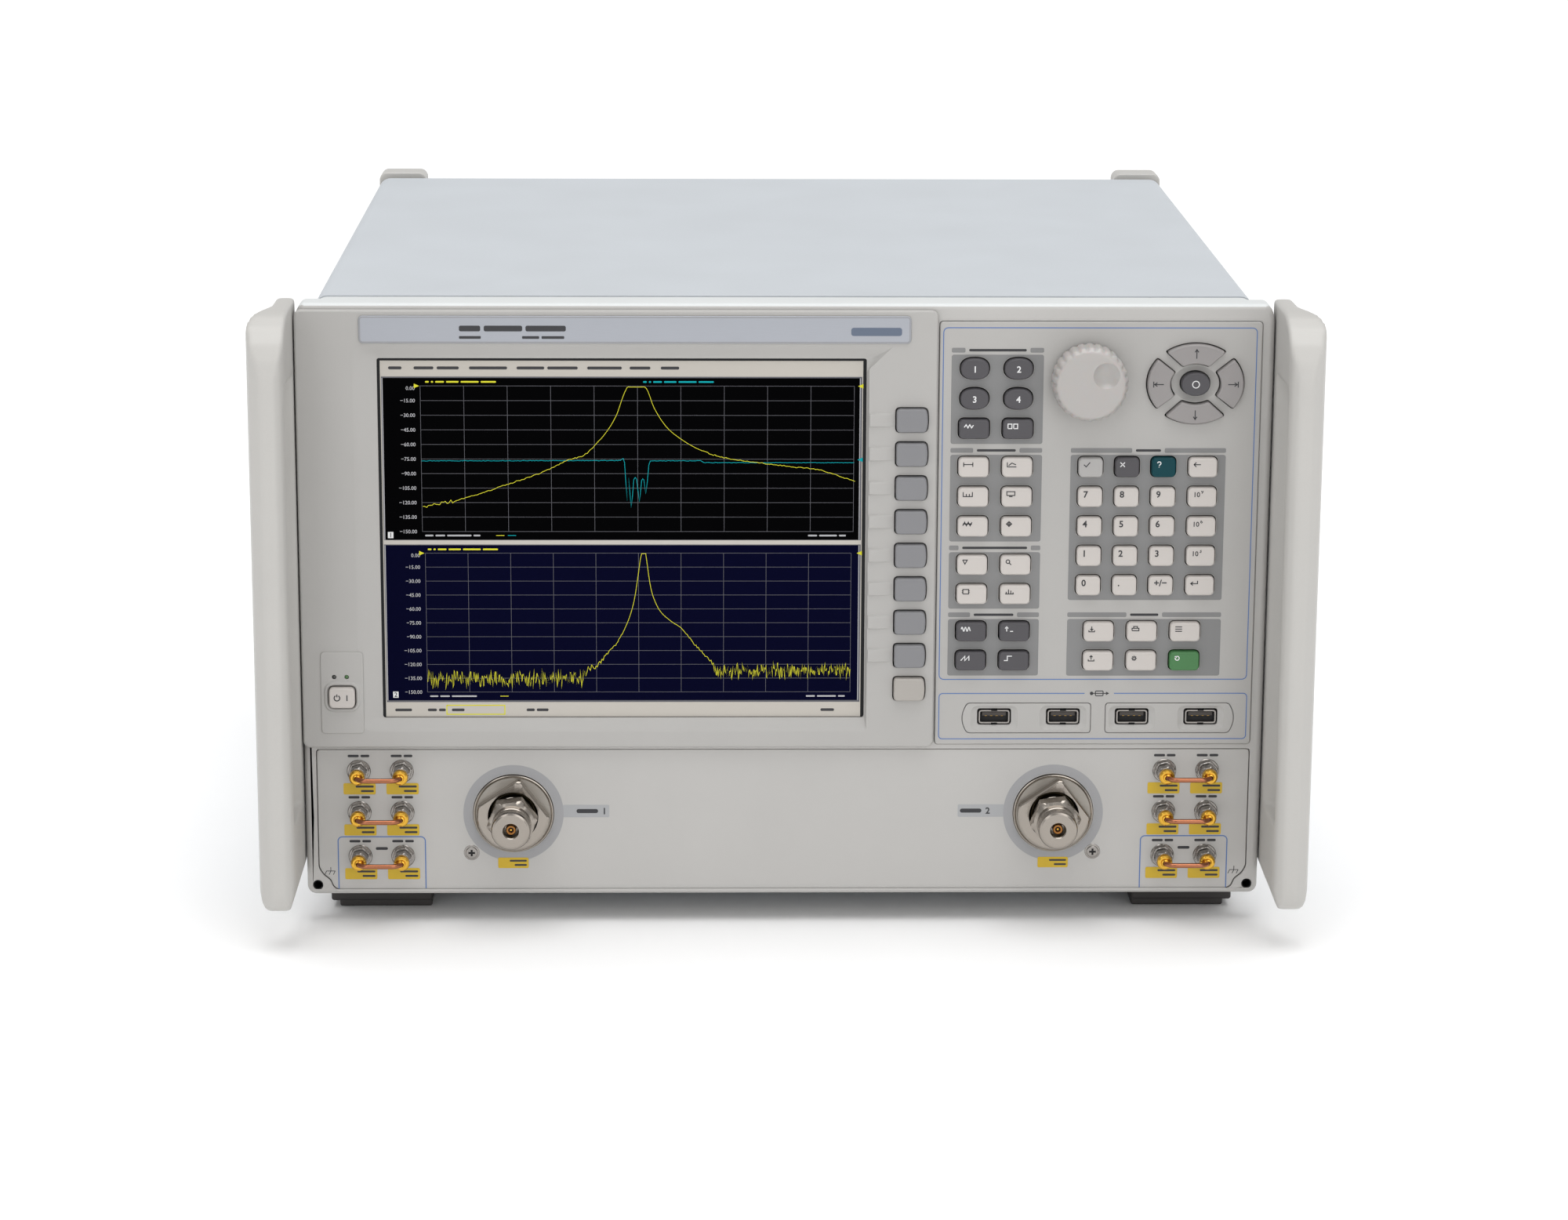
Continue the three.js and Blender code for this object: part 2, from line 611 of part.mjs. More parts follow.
// The chassis: floor, side walls, front bulkhead and a divider.
function chassis() {
  const front = FRAME_BACK_Y + 3;
  const back = COVER_BACK_Y - 2;
  const side = COVER_HALF_W - SHEET - 5;
  const floorZ = COVER_BOTTOM_Z + SHEET + FIT;
  const parts = [
    block(-side, side, front, back, floorZ, floorZ + SHEET),
    block(-side, -side + SHEET, front, back, floorZ, 250),
    block(side - SHEET, side, front, back, floorZ, 250),
    block(-side, side, 236, 236 + SHEET, floorZ, 250),
  ];
  const bulkhead = plate(boxOutline(-side, side, floorZ, 250), front, front + SHEET, [
    ...[-1, 1].map((s) => circleOutline(s * PORT.x, PORT.z, 12, 16)),
  ]);
  return piece("chassis", join(...parts, bulkhead), ZINC_STEEL);
}

function ventSlots(x0, x1, z0, rows, pitch) {
  return Array.from({ length: rows }, (_, i) => boxOutline(x0, x1, z0 + i * pitch, z0 + i * pitch + 3, 1.2));
}

// The rear panel with its fan grille, openings and a row of bulkhead connectors.
function rearPanel() {
  const y0 = COVER_BACK_Y + FIT;
  const y1 = y0 + REAR_PANEL_T;
  const outline = boxOutline(-204.5, 204.5, 2.5, 264.5, 5, 2);
  const grille = Array.from({ length: 11 }, (_, i) => {
    const z = FAN.z + (i - 5) * 6.6;
    const half = Math.sqrt(36.5 ** 2 - (z - FAN.z) ** 2);
    return boxOutline(FAN.x - half, FAN.x + half, z - 1.9, z + 1.9, 1);
  });
  const holes = [
    ...grille,
    roundedOutline(INLET.x, INLET.z, INLET.w + 2 * FIT, INLET.h + 2 * FIT, 0.1, 1),
    boxOutline(PORT_BAY.x0, PORT_BAY.x1, PORT_BAY.z0, PORT_BAY.z1),
    ...ventSlots(-180, -40, 150, 6, 9),
  ];
  const connectors = Array.from({ length: 6 }, (_, i) => bar(-178 + i * 22, 96, 6, y0 + 0.5, y1 + 12, 10));
  return piece("rear_panel", join(plate(outline, y0, y1, holes), ...connectors), ZINC_STEEL);
}

// A rear corner bumper: it stands a little proud of the cover, and the instrument can rest on all four.
function bumper(name, side, top) {
  const y0 = COVER_BACK_Y + REAR_PANEL_T + 2 * FIT;
  const outer = top ? COVER_TOP_Z + 2.6 : COVER_BOTTOM_Z - 2.6;
  const inner = top ? outer - 30 : outer + 30;
  const [z0, z1] = [Math.min(outer, inner), Math.max(outer, inner)];
  const [x0, x1] = side > 0 ? [181.5, COVER_HALF_W] : [-COVER_HALF_W, -181.5];
  const base = plate(boxOutline(x0, x1, z0, z1, 3, 2), y0, BUMPER_BACK_Y - 2);
  const nose = plate(boxOutline(x0 + 3, x1 - 2, z0 + 3, z1 - 2, 3, 2), BUMPER_BACK_Y - 3, BUMPER_BACK_Y);
  return piece(name, join(base, nose), HANDLE_PLASTIC);
}

// A foot under the cabinet: a wide upper step and a smaller sole.
function foot(name, side, yFront) {
  const topZ = COVER_BOTTOM_Z - FIT;
  const [x0, x1] = side > 0 ? [158.5, 204] : [-204, -158.5];
  const [s0, s1] = side > 0 ? [158.5, 200.3] : [-200.3, -158.5];
  const stepZ = topZ - FOOT_STEP;
  const upper = block(x0, x1, yFront, yFront + 44, stepZ, topZ);
  const sole = block(s0, s1, yFront + 1, yFront + 40, -FOOT_HEIGHT, stepZ + 1);
  return piece(name, join(upper, sole), FOOT_PLASTIC);
}

// A front handle: an ear that stands forward from the side of the frame. It is where three outlines meet,
// its side view, its plan and its front view, less a scoop for the fingers in its inner face.
function handle(name, side) {
  const { reach, topZ, bottomZ, innerX, outerX, scoop } = HANDLE;
  const backY = FRAME_RIM_Y;
  const frontY = -reach;
  const quarter = Math.PI / 2;
  const arc = (y, z, r, from, to) => {
    const middle = new THREE.Vector2(y, z);
    return ellipseArc(r, r, from, to, 5).map((p) => p.add(middle));
  };
  const mirrored = (points) => points.map(([x, other]) => new THREE.Vector2(side * x, other));
  const sideView = [
    new THREE.Vector2(backY, topZ),
    ...arc(frontY + 27, topZ - 27, 27, quarter, 2 * quarter),
    ...arc(frontY + 9, bottomZ + 9, 9, 2 * quarter, 3 * quarter),
    new THREE.Vector2(backY, bottomZ + 8),
  ];
  const plan = mirrored([
    [innerX, backY + 1],
    [innerX + 8, backY + 1],
    [innerX + 8.6, -8],
    [innerX + 11.5, -18],
    [outerX - 1, -29],
    [outerX, -35],
    [outerX - 1.6, -42.5],
    [outerX - 6.5, frontY - 0.1],
    [innerX + 4.5, frontY - 0.1],
    [innerX + 1, -43.5],
    [innerX, -39.5],
  ]);
  const frontView = mirrored([
    [innerX, topZ + 1],
    [innerX, bottomZ + 10],
    [innerX + 3.5, bottomZ - 1],
    [outerX - 4.5, bottomZ - 1],
    [outerX, bottomZ + 8],
    [outerX, topZ + 1],
  ]);
  const hollow = mirrored([
    [innerX - 1, scoop.frontY],
    [innerX + 0.5, scoop.frontY],
    [innerX + scoop.depth - 1, scoop.frontY + 6],
    [innerX + scoop.depth, scoop.frontY + 15],
    [innerX + scoop.depth - 1, scoop.frontY + 25],
    [innerX + 0.5, scoop.backY],
    [innerX - 1, scoop.backY],
  ]);
  const sideSolid = new THREE.ExtrudeGeometry(new THREE.Shape(sideView), {
    depth: outerX - innerX,
    bevelEnabled: false,
  })
    .rotateX(quarter)
    .rotateZ(quarter)
    .translate(side > 0 ? innerX : -outerX, 0, 0);
  const planSolid = new THREE.ExtrudeGeometry(new THREE.Shape(plan), {
    depth: topZ + 2,
    bevelEnabled: false,
  });
  const frontSolid = plate(frontView, frontY - 2, backY + 2);
  const scoopSolid = new THREE.ExtrudeGeometry(new THREE.Shape(hollow), {
    depth: scoop.topZ - scoop.bottomZ,
    bevelEnabled: false,
  }).translate(0, 0, scoop.bottomZ);
  const ear = overlapOf(overlapOf(sideSolid, planSolid), frontSolid);
  return piece(name, cut(ear, scoopSolid), HANDLE_PLASTIC);
}

// ---------------------------------------------------------------- inside the cabinet

function powerSupply() {
  const can = block(104, 194, 246, 386, 8, 112);
  const lid = block(108, 190, 250, 382, 111, 114);
  return piece("power_supply", join(can, lid), ZINC_STEEL);
}

// The main board stands on the chassis floor, with its connectors at the rear panel.
function processorBoard() {
  const board = block(-194, -52, 250, 400, 24, 26);
  const connectors = [
    [-167, 16, 14],
    [-146, 14, 16],
    [-122, 18, 10],
    [-96, 24, 10],
    [-71, 16, 12],
  ].map(([x, w, h]) => block(x - w / 2, x + w / 2, 384, 409, 25.5, 30 + h));
  const heatSink = block(-150, -110, 300, 340, 25.5, 52);
  const memory = block(-90, -84, 270, 370, 25.5, 56);
  return piece("processor_board", join(board, heatSink, memory, ...connectors), CIRCUIT_GREEN);
}

// The microwave deck behind the test ports: a plate with the couplers and the source and receiver modules.
function microwaveDeck() {
  const deck = block(-190, 190, 36, 228, 8, 11);
  const couplers = [-1, 1].map((s) => block(s * PORT.x - 12, s * PORT.x + 12, 36, 130, 10.5, 50));
  const modules = [
    block(-80, 80, 50, 215, 10.5, 62),
    block(-186, -140, 60, 215, 10.5, 44),
    block(140, 186, 60, 215, 10.5, 44),
  ];
  return piece("microwave_deck", join(deck, ...couplers, ...modules), ZINC_STEEL);
}

function fanHousing() {
  const { x, z, size, frontY, depth } = FAN;
  const y1 = frontY + depth;
  const frame = plate(boxOutline(x - size / 2, x + size / 2, z - size / 2, z + size / 2, 3), frontY, y1, [
    circleOutline(x, z, size / 2 - 2, 24),
  ]);
  const seat = bar(x, z, 17, frontY, frontY + 3, 16);
  const struts = [0, 1, 2].map((i) =>
    block(-1.8, 1.8, frontY, frontY + 3, 10, size / 2 - 0.5)
      .rotateY((i * 2 * Math.PI) / 3)
      .translate(x, 0, z),
  );
  return piece("fan_housing", join(frame, seat, ...struts), BLACK_PLASTIC);
}

function fanRotor() {
  const blades = Array.from({ length: 7 }, (_, i) =>
    block(-1.2, 1.2, -8, 8, 15, 36).rotateZ(0.6).rotateY((i * 2 * Math.PI) / 7),
  );
  const hub = bar(0, 0, 17, -9, 9, 16);
  const midY = FAN.frontY + FAN.depth / 2 + 1.5;
  return piece("fan_rotor", join(hub, ...blades), BLACK_PLASTIC, FAN.x, midY, FAN.z);
}

// The mains inlet: a moulded shell with a recess and three blades.
function mainsInlet() {
  const { x, z, w, h } = INLET;
  const mouthY = COVER_BACK_Y + FIT + REAR_PANEL_T + 3;
  const shell = block(x - w / 2, x + w / 2, mouthY - 20, mouthY, z - h / 2, z + h / 2);
  const recess = block(x - 12, x + 12, mouthY - 16, mouthY + 1, z - 8, z + 8);
  const blades = [
    [-7, 0],
    [7, 0],
    [0, 4],
  ].map(([dx, dz]) => block(x + dx - 1, x + dx + 1, mouthY - 17, mouthY - 2, z + dz - 2, z + dz + 2));
  return piece("mains_inlet", join(cut(shell, recess), ...blades), BLACK_PLASTIC);
}

// ---------------------------------------------------------------- the instrument

const SIDES = { left: -1, right: 1 };

function instrument() {
  const group = new THREE.Group();
  group.position.set(0, -MID_Y, FOOT_HEIGHT);
  group.add(
    frontFrame(),
    displayBezel(),
    keypadPanel(),
    nameplate(),
    displayModule(),
    keyBoard(),
    testPortPanel(),
    usbSockets(),
    outerCover(),
    chassis(),
    rearPanel(),
    powerSupply(),
    processorBoard(),
    microwaveDeck(),
    fanHousing(),
    fanRotor(),
    mainsInlet(),
    knob(),
    knobEncoder(),
    powerButton(),
    ...cursorKeys(),
    ...softKeys(),
    ...keyPads(),
  );
  for (const [word, side] of Object.entries(SIDES)) {
    const port = side < 0 ? 1 : 2;
    group.add(
      handle(`handle_${word}`, side),
      foot(`foot_front_${word}`, side, 23),
      foot(`foot_rear_${word}`, side, 340),
      bumper(`bumper_top_${word}`, side, true),
      bumper(`bumper_bottom_${word}`, side, false),
      portBody(`port_${port}_body`, side * PORT.x),
      portNut(`port_${port}_nut`, side * PORT.x),
    );
  }
  for (const link of linkCentres()) {
    const word = link.side < 0 ? "left" : "right";
    group.add(linkCable(`link_${word}_${link.row + 1}`, link));
  }
  return group;
}

export default instrument();
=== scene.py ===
"""The looks of a bench vector network analyzer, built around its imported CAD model.

Shapes are drawn in panel millimetres: x to the right, y to the back from the front face of the front frame,
z up from the frame's lower edge. piece() turns them into metres in the row frame.
"""

import math
import random

import bmesh
import bpy
from mathutils import Matrix, Vector
from mathutils.geometry import delaunay_2d_cdt, normal


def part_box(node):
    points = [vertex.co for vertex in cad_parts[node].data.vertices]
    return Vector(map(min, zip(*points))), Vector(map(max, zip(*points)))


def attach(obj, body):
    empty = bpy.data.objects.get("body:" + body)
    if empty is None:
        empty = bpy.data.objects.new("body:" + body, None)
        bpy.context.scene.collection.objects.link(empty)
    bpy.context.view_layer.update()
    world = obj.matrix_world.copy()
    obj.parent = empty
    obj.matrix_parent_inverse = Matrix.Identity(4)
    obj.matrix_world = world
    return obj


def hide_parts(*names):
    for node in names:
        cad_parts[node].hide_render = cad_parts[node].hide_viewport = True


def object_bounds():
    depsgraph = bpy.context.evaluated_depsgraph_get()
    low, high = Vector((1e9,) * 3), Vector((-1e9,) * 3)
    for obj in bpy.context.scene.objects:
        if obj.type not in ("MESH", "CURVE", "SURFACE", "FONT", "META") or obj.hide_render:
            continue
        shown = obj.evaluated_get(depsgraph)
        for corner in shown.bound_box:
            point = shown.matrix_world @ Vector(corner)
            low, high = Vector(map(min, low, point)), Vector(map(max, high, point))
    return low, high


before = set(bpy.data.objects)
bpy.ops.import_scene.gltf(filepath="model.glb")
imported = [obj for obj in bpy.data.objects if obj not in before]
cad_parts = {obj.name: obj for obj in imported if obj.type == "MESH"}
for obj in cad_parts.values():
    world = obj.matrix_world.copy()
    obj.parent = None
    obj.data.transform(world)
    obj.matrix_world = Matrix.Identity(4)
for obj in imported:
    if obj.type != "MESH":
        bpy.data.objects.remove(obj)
cad_low, cad_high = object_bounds()

MM = 0.001
frame_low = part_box("front_frame")[0]
ORIGIN = Vector((0, frame_low.y, frame_low.z))
WELD_GAP = 0.002  # keeps the rim of an open skin from being joined to a plate's edge
WELD_REACH = 0.0002  # points closer than this are one point
TRIANGLES_INSIDE = 1  # what delaunay_2d_cdt returns: triangles inside the outline
INK = 0.05  # thickness of a print
LAYER = 0.004  # keeps prints that cross from sharing a face
GAP = 0.45  # air between a key and its opening
SHADE_SLEEVE = GAP - 0.03  # where the dark sleeve inside a key's opening stands: painted shade in the gap


def span(node):
    """A CAD node's box in panel millimetres: x0, x1, y0, y1, z0, z1."""
    low, high = ((corner - ORIGIN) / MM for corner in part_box(node))
    return low.x, high.x, low.y, high.y, low.z, high.z


def centre(node):
    """The middle of a CAD node's box in x and z."""
    x0, x1, _, _, z0, z1 = span(node)
    return (x0 + x1) / 2, (z0 + z1) / 2


def place(name, data):
    """A new object in the scene."""
    made = bpy.data.objects.new(name, data)
    bpy.context.scene.collection.objects.link(made)
    return made


# ---------------------------------------------------------------- materials

PAINT_SHARE = 0.85  # how much of a finish's nominal colour its paint gives back under this studio's light
BRUSH_STRETCH = 0.03  # how far a brushed grain is drawn out
BROAD_SCALE = 22  # of the cloudy variation, per metre
FINE_SHARE, BROAD_SHARE = 0.35, 0.65  # of the two noises in the colour's variation
ROUGH_SPREAD = 0.15
LOOKS = {}


def srgb(red, green, blue):
    """A colour given in 0 to 255 as linear RGB."""
    parts = (c / 255 for c in (red, green, blue))
    return [c / 12.92 if c <= 0.04045 else ((c + 0.055) / 1.055) ** 2.4 for c in parts]


def surface(name, colour, rough, metal=0.0, grain=(0.6, 0.05), tint=0.03, brushed=None, glow=0.0, coat=0.0,
            shine=0.5, soft=0.0, share=PAINT_SHARE):
    """A procedural finish. grain is (size in mm, bump strength).

    brushed is the axis that the brush lines run along.
    """
    material = bpy.data.materials.new(name)
    material.use_nodes = True
    nodes, links = material.node_tree.nodes, material.node_tree.links

    def feed(node, values):
        """Sets a node's inputs, or links them where the value is another node's output."""
        for socket, value in values.items():
            if isinstance(value, bpy.types.NodeSocket):
                links.new(value, node.inputs[socket])
            else:
                node.inputs[socket].default_value = value

    def output(kind, values, **settings):
        node = nodes.new(f"ShaderNode{kind}")
        for key, value in settings.items():
            setattr(node, key, value)
        feed(node, values)
        return next(out for out in node.outputs if out.enabled)

    size = grain[0] * MM
    spot = nodes.new("ShaderNodeTexCoord").outputs["Object"]
    if brushed is not None:
        stretch = [BRUSH_STRETCH if axis == brushed else 1.0 for axis in range(3)]
        spot = output("Mapping", {"Vector": spot, "Scale": stretch})
    fine = output("TexNoise", {"Vector": spot, "Scale": 1 / size, "Detail": 3})
    broad = output("TexNoise", {"Vector": spot, "Scale": BROAD_SCALE, "Detail": 4})
    cloud = output("Math", {0: broad, 1: BROAD_SHARE}, operation="MULTIPLY")
    blend = output("Math", {0: fine, 1: FINE_SHARE, 2: cloud}, operation="MULTIPLY_ADD")
    base = [c * (1 if metal else share) for c in srgb(*colour)]
    dark, light = ([min(1, c * (1 + lean * tint)) for c in base] + [1] for lean in (-2, 2))
    feed(nodes["Principled BSDF"], {
        "Metallic": metal, "Coat Weight": coat, "Coat Roughness": 0.15, "Specular IOR Level": shine,
        "Subsurface Weight": soft, "Subsurface Scale": 0.003,
        "Normal": output("Bump", {"Strength": grain[1], "Distance": size / 3, "Height": fine}),
        "Base Color": output("Mix", {"A": dark, "B": light, "Factor": blend}, data_type="RGBA"),
        "Roughness": output("MapRange", {"To Min": rough * (1 - ROUGH_SPREAD), "Value": broad,
                                         "To Max": min(1, rough * (1 + ROUGH_SPREAD))})})
    if glow:
        feed(nodes["Principled BSDF"], {"Emission Color": base + [1], "Emission Strength": glow})
    LOOKS[name] = material
    return material


def family(colours, rough, **facts):
    """Finishes that differ only in colour."""
    for name, colour in colours.items():
        surface(name, colour, rough, **facts)


# frame_lip_paint is the frame paint made paler: a painted highlight on the frame's upward top faces
family({"frame_paint": (193, 191, 188), "frame_lip_paint": (223, 226, 226)}, 0.5, grain=(0.5, 0.10))
surface("bezel_plastic", (183, 181, 178), 0.55, grain=(0.45, 0.12))
surface("cover_paint", (201, 206, 211), 0.6, grain=(0.8, 0.22), tint=0.04)
surface("handle_plastic", (197, 195, 191), 0.42, grain=(0.7, 0.08))
surface("foot_plastic", (60, 57, 56), 0.65, grain=(0.5, 0.2))
# key_ivory_shaded is key_ivory evenly darkened: painted shade on the ninth soft key
family({"key_ivory": (205, 199, 194), "key_ivory_shaded": (176, 171, 165), "key_stone": (178, 176, 174)}, 0.5,
       grain=(0.3, 0.08), tint=0.02)
family({"key_green": (66, 124, 70), "key_silver": (134, 134, 137), "key_cursor": (152, 148, 147)}, 0.45,
       grain=(0.3, 0.08), tint=0.02)
surface("key_dark", (76, 74, 78), 0.5, grain=(0.3, 0.1))
surface("key_teal", (0, 64, 72), 0.45, grain=(0.3, 0.08), tint=0.02, shine=0.2)
surface("knob_plastic", (182, 178, 175), 0.34, grain=(0.5, 0.03), tint=0.015, coat=0.25, soft=0.2)
surface("group_paint", (134, 134, 134), 0.55, grain=(0.3, 0.12), tint=0.05)
surface("nameplate_silver", (160, 163, 170), 0.35, metal=0.35, grain=(0.25, 0.08), brushed=0, tint=0.05)
surface("screen_glass", (7, 8, 12), 0.3, grain=(1.0, 0.01), shine=0.25)
surface("black_plastic", (24, 24, 26), 0.55, grain=(0.4, 0.15))
# deep_black: near black for the shade deep in the USB sockets and their notches: painted shade
surface("deep_black", (9, 9, 10), 0.7, grain=(0.4, 0.1), shine=0.15)
surface("socket_tongue", (66, 60, 56), 0.5, grain=(0.4, 0.1))
surface("shadow_gap", (34, 34, 36), 0.8, grain=(0.5, 0.1))
# pale_line is a grey for the shade in fine grooves and along the nameplate's raised rim: painted shade
family({"blue_ink": (88, 120, 178), "slate_ink": (96, 108, 128), "white_ink": (232, 232, 232),
        "pale_line": (150, 150, 152)}, 0.5, grain=(0.2, 0.05))
surface("dark_ink", (48, 48, 52), 0.55, grain=(0.2, 0.05))
family({"ring_paint": (163, 163, 165), "strip_paint": (172, 173, 175)}, 0.5, grain=(0.4, 0.1))
surface("yellow_label", (212, 176, 26), 0.4, grain=(0.5, 0.05), tint=0.04)
surface("port_steel", (158, 151, 143), 0.2, metal=1.0, grain=(0.25, 0.05), tint=0.05)
surface("brushed_steel", (150, 145, 138), 0.32, metal=1.0, grain=(0.3, 0.25), brushed=0, tint=0.08)
surface("nickel", (150, 146, 142), 0.24, metal=1.0, grain=(0.3, 0.08), tint=0.06)
surface("gold", (216, 168, 66), 0.2, metal=1.0, grain=(0.3, 0.06), tint=0.05)
surface("copper", (166, 108, 80), 0.24, metal=1.0, grain=(0.4, 0.06), tint=0.06)
surface("socket_shell", (150, 146, 142), 0.3, metal=1.0, grain=(0.3, 0.05), tint=0.04)
surface("bronze", (150, 104, 58), 0.35, metal=1.0, grain=(0.3, 0.08), tint=0.06)
# dark_bore: an olive metal tint darkened for the shade inside the ports' bores: partly own tint, partly
# painted shade
surface("dark_bore", (66, 58, 40), 0.35, metal=0.9, grain=(0.3, 0.1), tint=0.1)
surface("chassis_steel", (180, 183, 181), 0.38, metal=0.9, grain=(1.5, 0.06), tint=0.08)
surface("module_alloy", (198, 198, 195), 0.42, metal=0.8, tint=0.05, grain=(0.6, 0.1))
surface("circuit_board", (28, 88, 52), 0.45, grain=(1.2, 0.12), tint=0.12)
SCREEN = {"grain": (1, 0.01), "tint": 0.01}
family({"screen_navy": (7, 8, 36), "screen_black": (3, 3, 4)}, 0.4, shine=0.01, **SCREEN)
for name, colour, glow in (("menu", (196, 191, 183), 0.05), ("grid", (104, 104, 110), 0.05),
                           ("figures", (178, 178, 182), 0.1), ("yellow", (214, 210, 52), 0.12),
                           ("cyan", (0, 158, 166), 0.1)):
    surface(f"screen_{name}", colour, 0.35, shine=0.1, glow=glow, **SCREEN)
surface("lamp_off", (44, 46, 42), 0.25, grain=(0.2, 0.02), coat=0.5)
surface("lamp_on", (58, 104, 46), 0.25, grain=(0.2, 0.02), coat=0.5, glow=0.1)

# ---------------------------------------------------------------- outlines, as lists of (x, z)


def arc(x, z, rx, rz, start, end, steps):
    """Points on an ellipse from one angle to another, in degrees."""
    angles = [math.radians(start + (end - start) * i / steps) for i in range(steps + 1)]
    return [(x + rx * math.cos(a), z + rz * math.sin(a)) for a in angles]


def circle(x, z, r, sides=32):
    return arc(x, z, r, r, 0, 360 * (1 - 1 / sides), sides - 1)


def box(x0, x1, z0, z1, r=1.0, steps=4):
    """A rectangle with round corners."""
    corners = [(x1 - r, z1 - r, 0), (x0 + r, z1 - r, 90), (x0 + r, z0 + r, 180), (x1 - r, z0 + r, 270)]
    return [p for x, z, a in corners for p in arc(x, z, r, r, a, a + 90, steps)]


def around(x, z, w, h, r=1.0, steps=4):
    return box(x - w / 2, x + w / 2, z - h / 2, z + h / 2, r, steps)


def bend(start, corner, end, turns):
    """Points on a curve that starts and ends towards a corner."""
    first, last = Vector(start), Vector(end)
    return [tuple(first * (1 - t) ** 2 + corner * 2 * t * (1 - t) + last * t**2) for t in turns]


def rounded(corners, steps=5):
    """A polygon whose corners (x, z, radius) are rounded."""
    outline = []
    for i, (x, z, r) in enumerate(corners):
        here = Vector((x, z))
        sides = (Vector(corners[k % len(corners)][:2]) - here for k in (i - 1, i + 1))
        before, after = (here + side.normalized() * r for side in sides)
        outline += bend(before, here, after, [k / steps for k in range(steps + 1)])
    return outline


def inset(outline, distance):
    """The outline moved inward, or outward where the distance is negative. Outlines run anticlockwise."""
    moved = []
    for i, point in enumerate(outline):
        here = Vector(point)
        arms = [(here - Vector(outline[i - 1])).normalized()]
        arms.append((Vector(outline[(i + 1) % len(outline)]) - here).normalized())
        first, second = (Vector((-arm.y, arm.x)) for arm in arms)
        mitre = first + second
        moved.append(tuple(here + mitre * (distance / max(mitre.dot(first), 0.3))))
    return moved


def morph(first, second, t):
    """The outline that is part of the way from one outline to another."""
    return [(a[0] * (1 - t) + b[0] * t, a[1] * (1 - t) + b[1] * t) for a, b in zip(first, second)]


def encloses(outline, point):
    """Whether a point lies inside an outline."""
    px, pz = point
    if not min(x for x, _ in outline) < px < max(x for x, _ in outline):
        return False
    crossings = 0
    for i, (x, z) in enumerate(outline):
        before_x, before_z = outline[i - 1]
        if (z > pz) != (before_z > pz):
            crossings += px < before_x + (pz - before_z) * (x - before_x) / (z - before_z)
    return crossings % 2 == 1


def at(outline, y):
    """The outline as points at one depth."""
    return [(x, y, z) for x, z in outline]


# ---------------------------------------------------------------- shapes


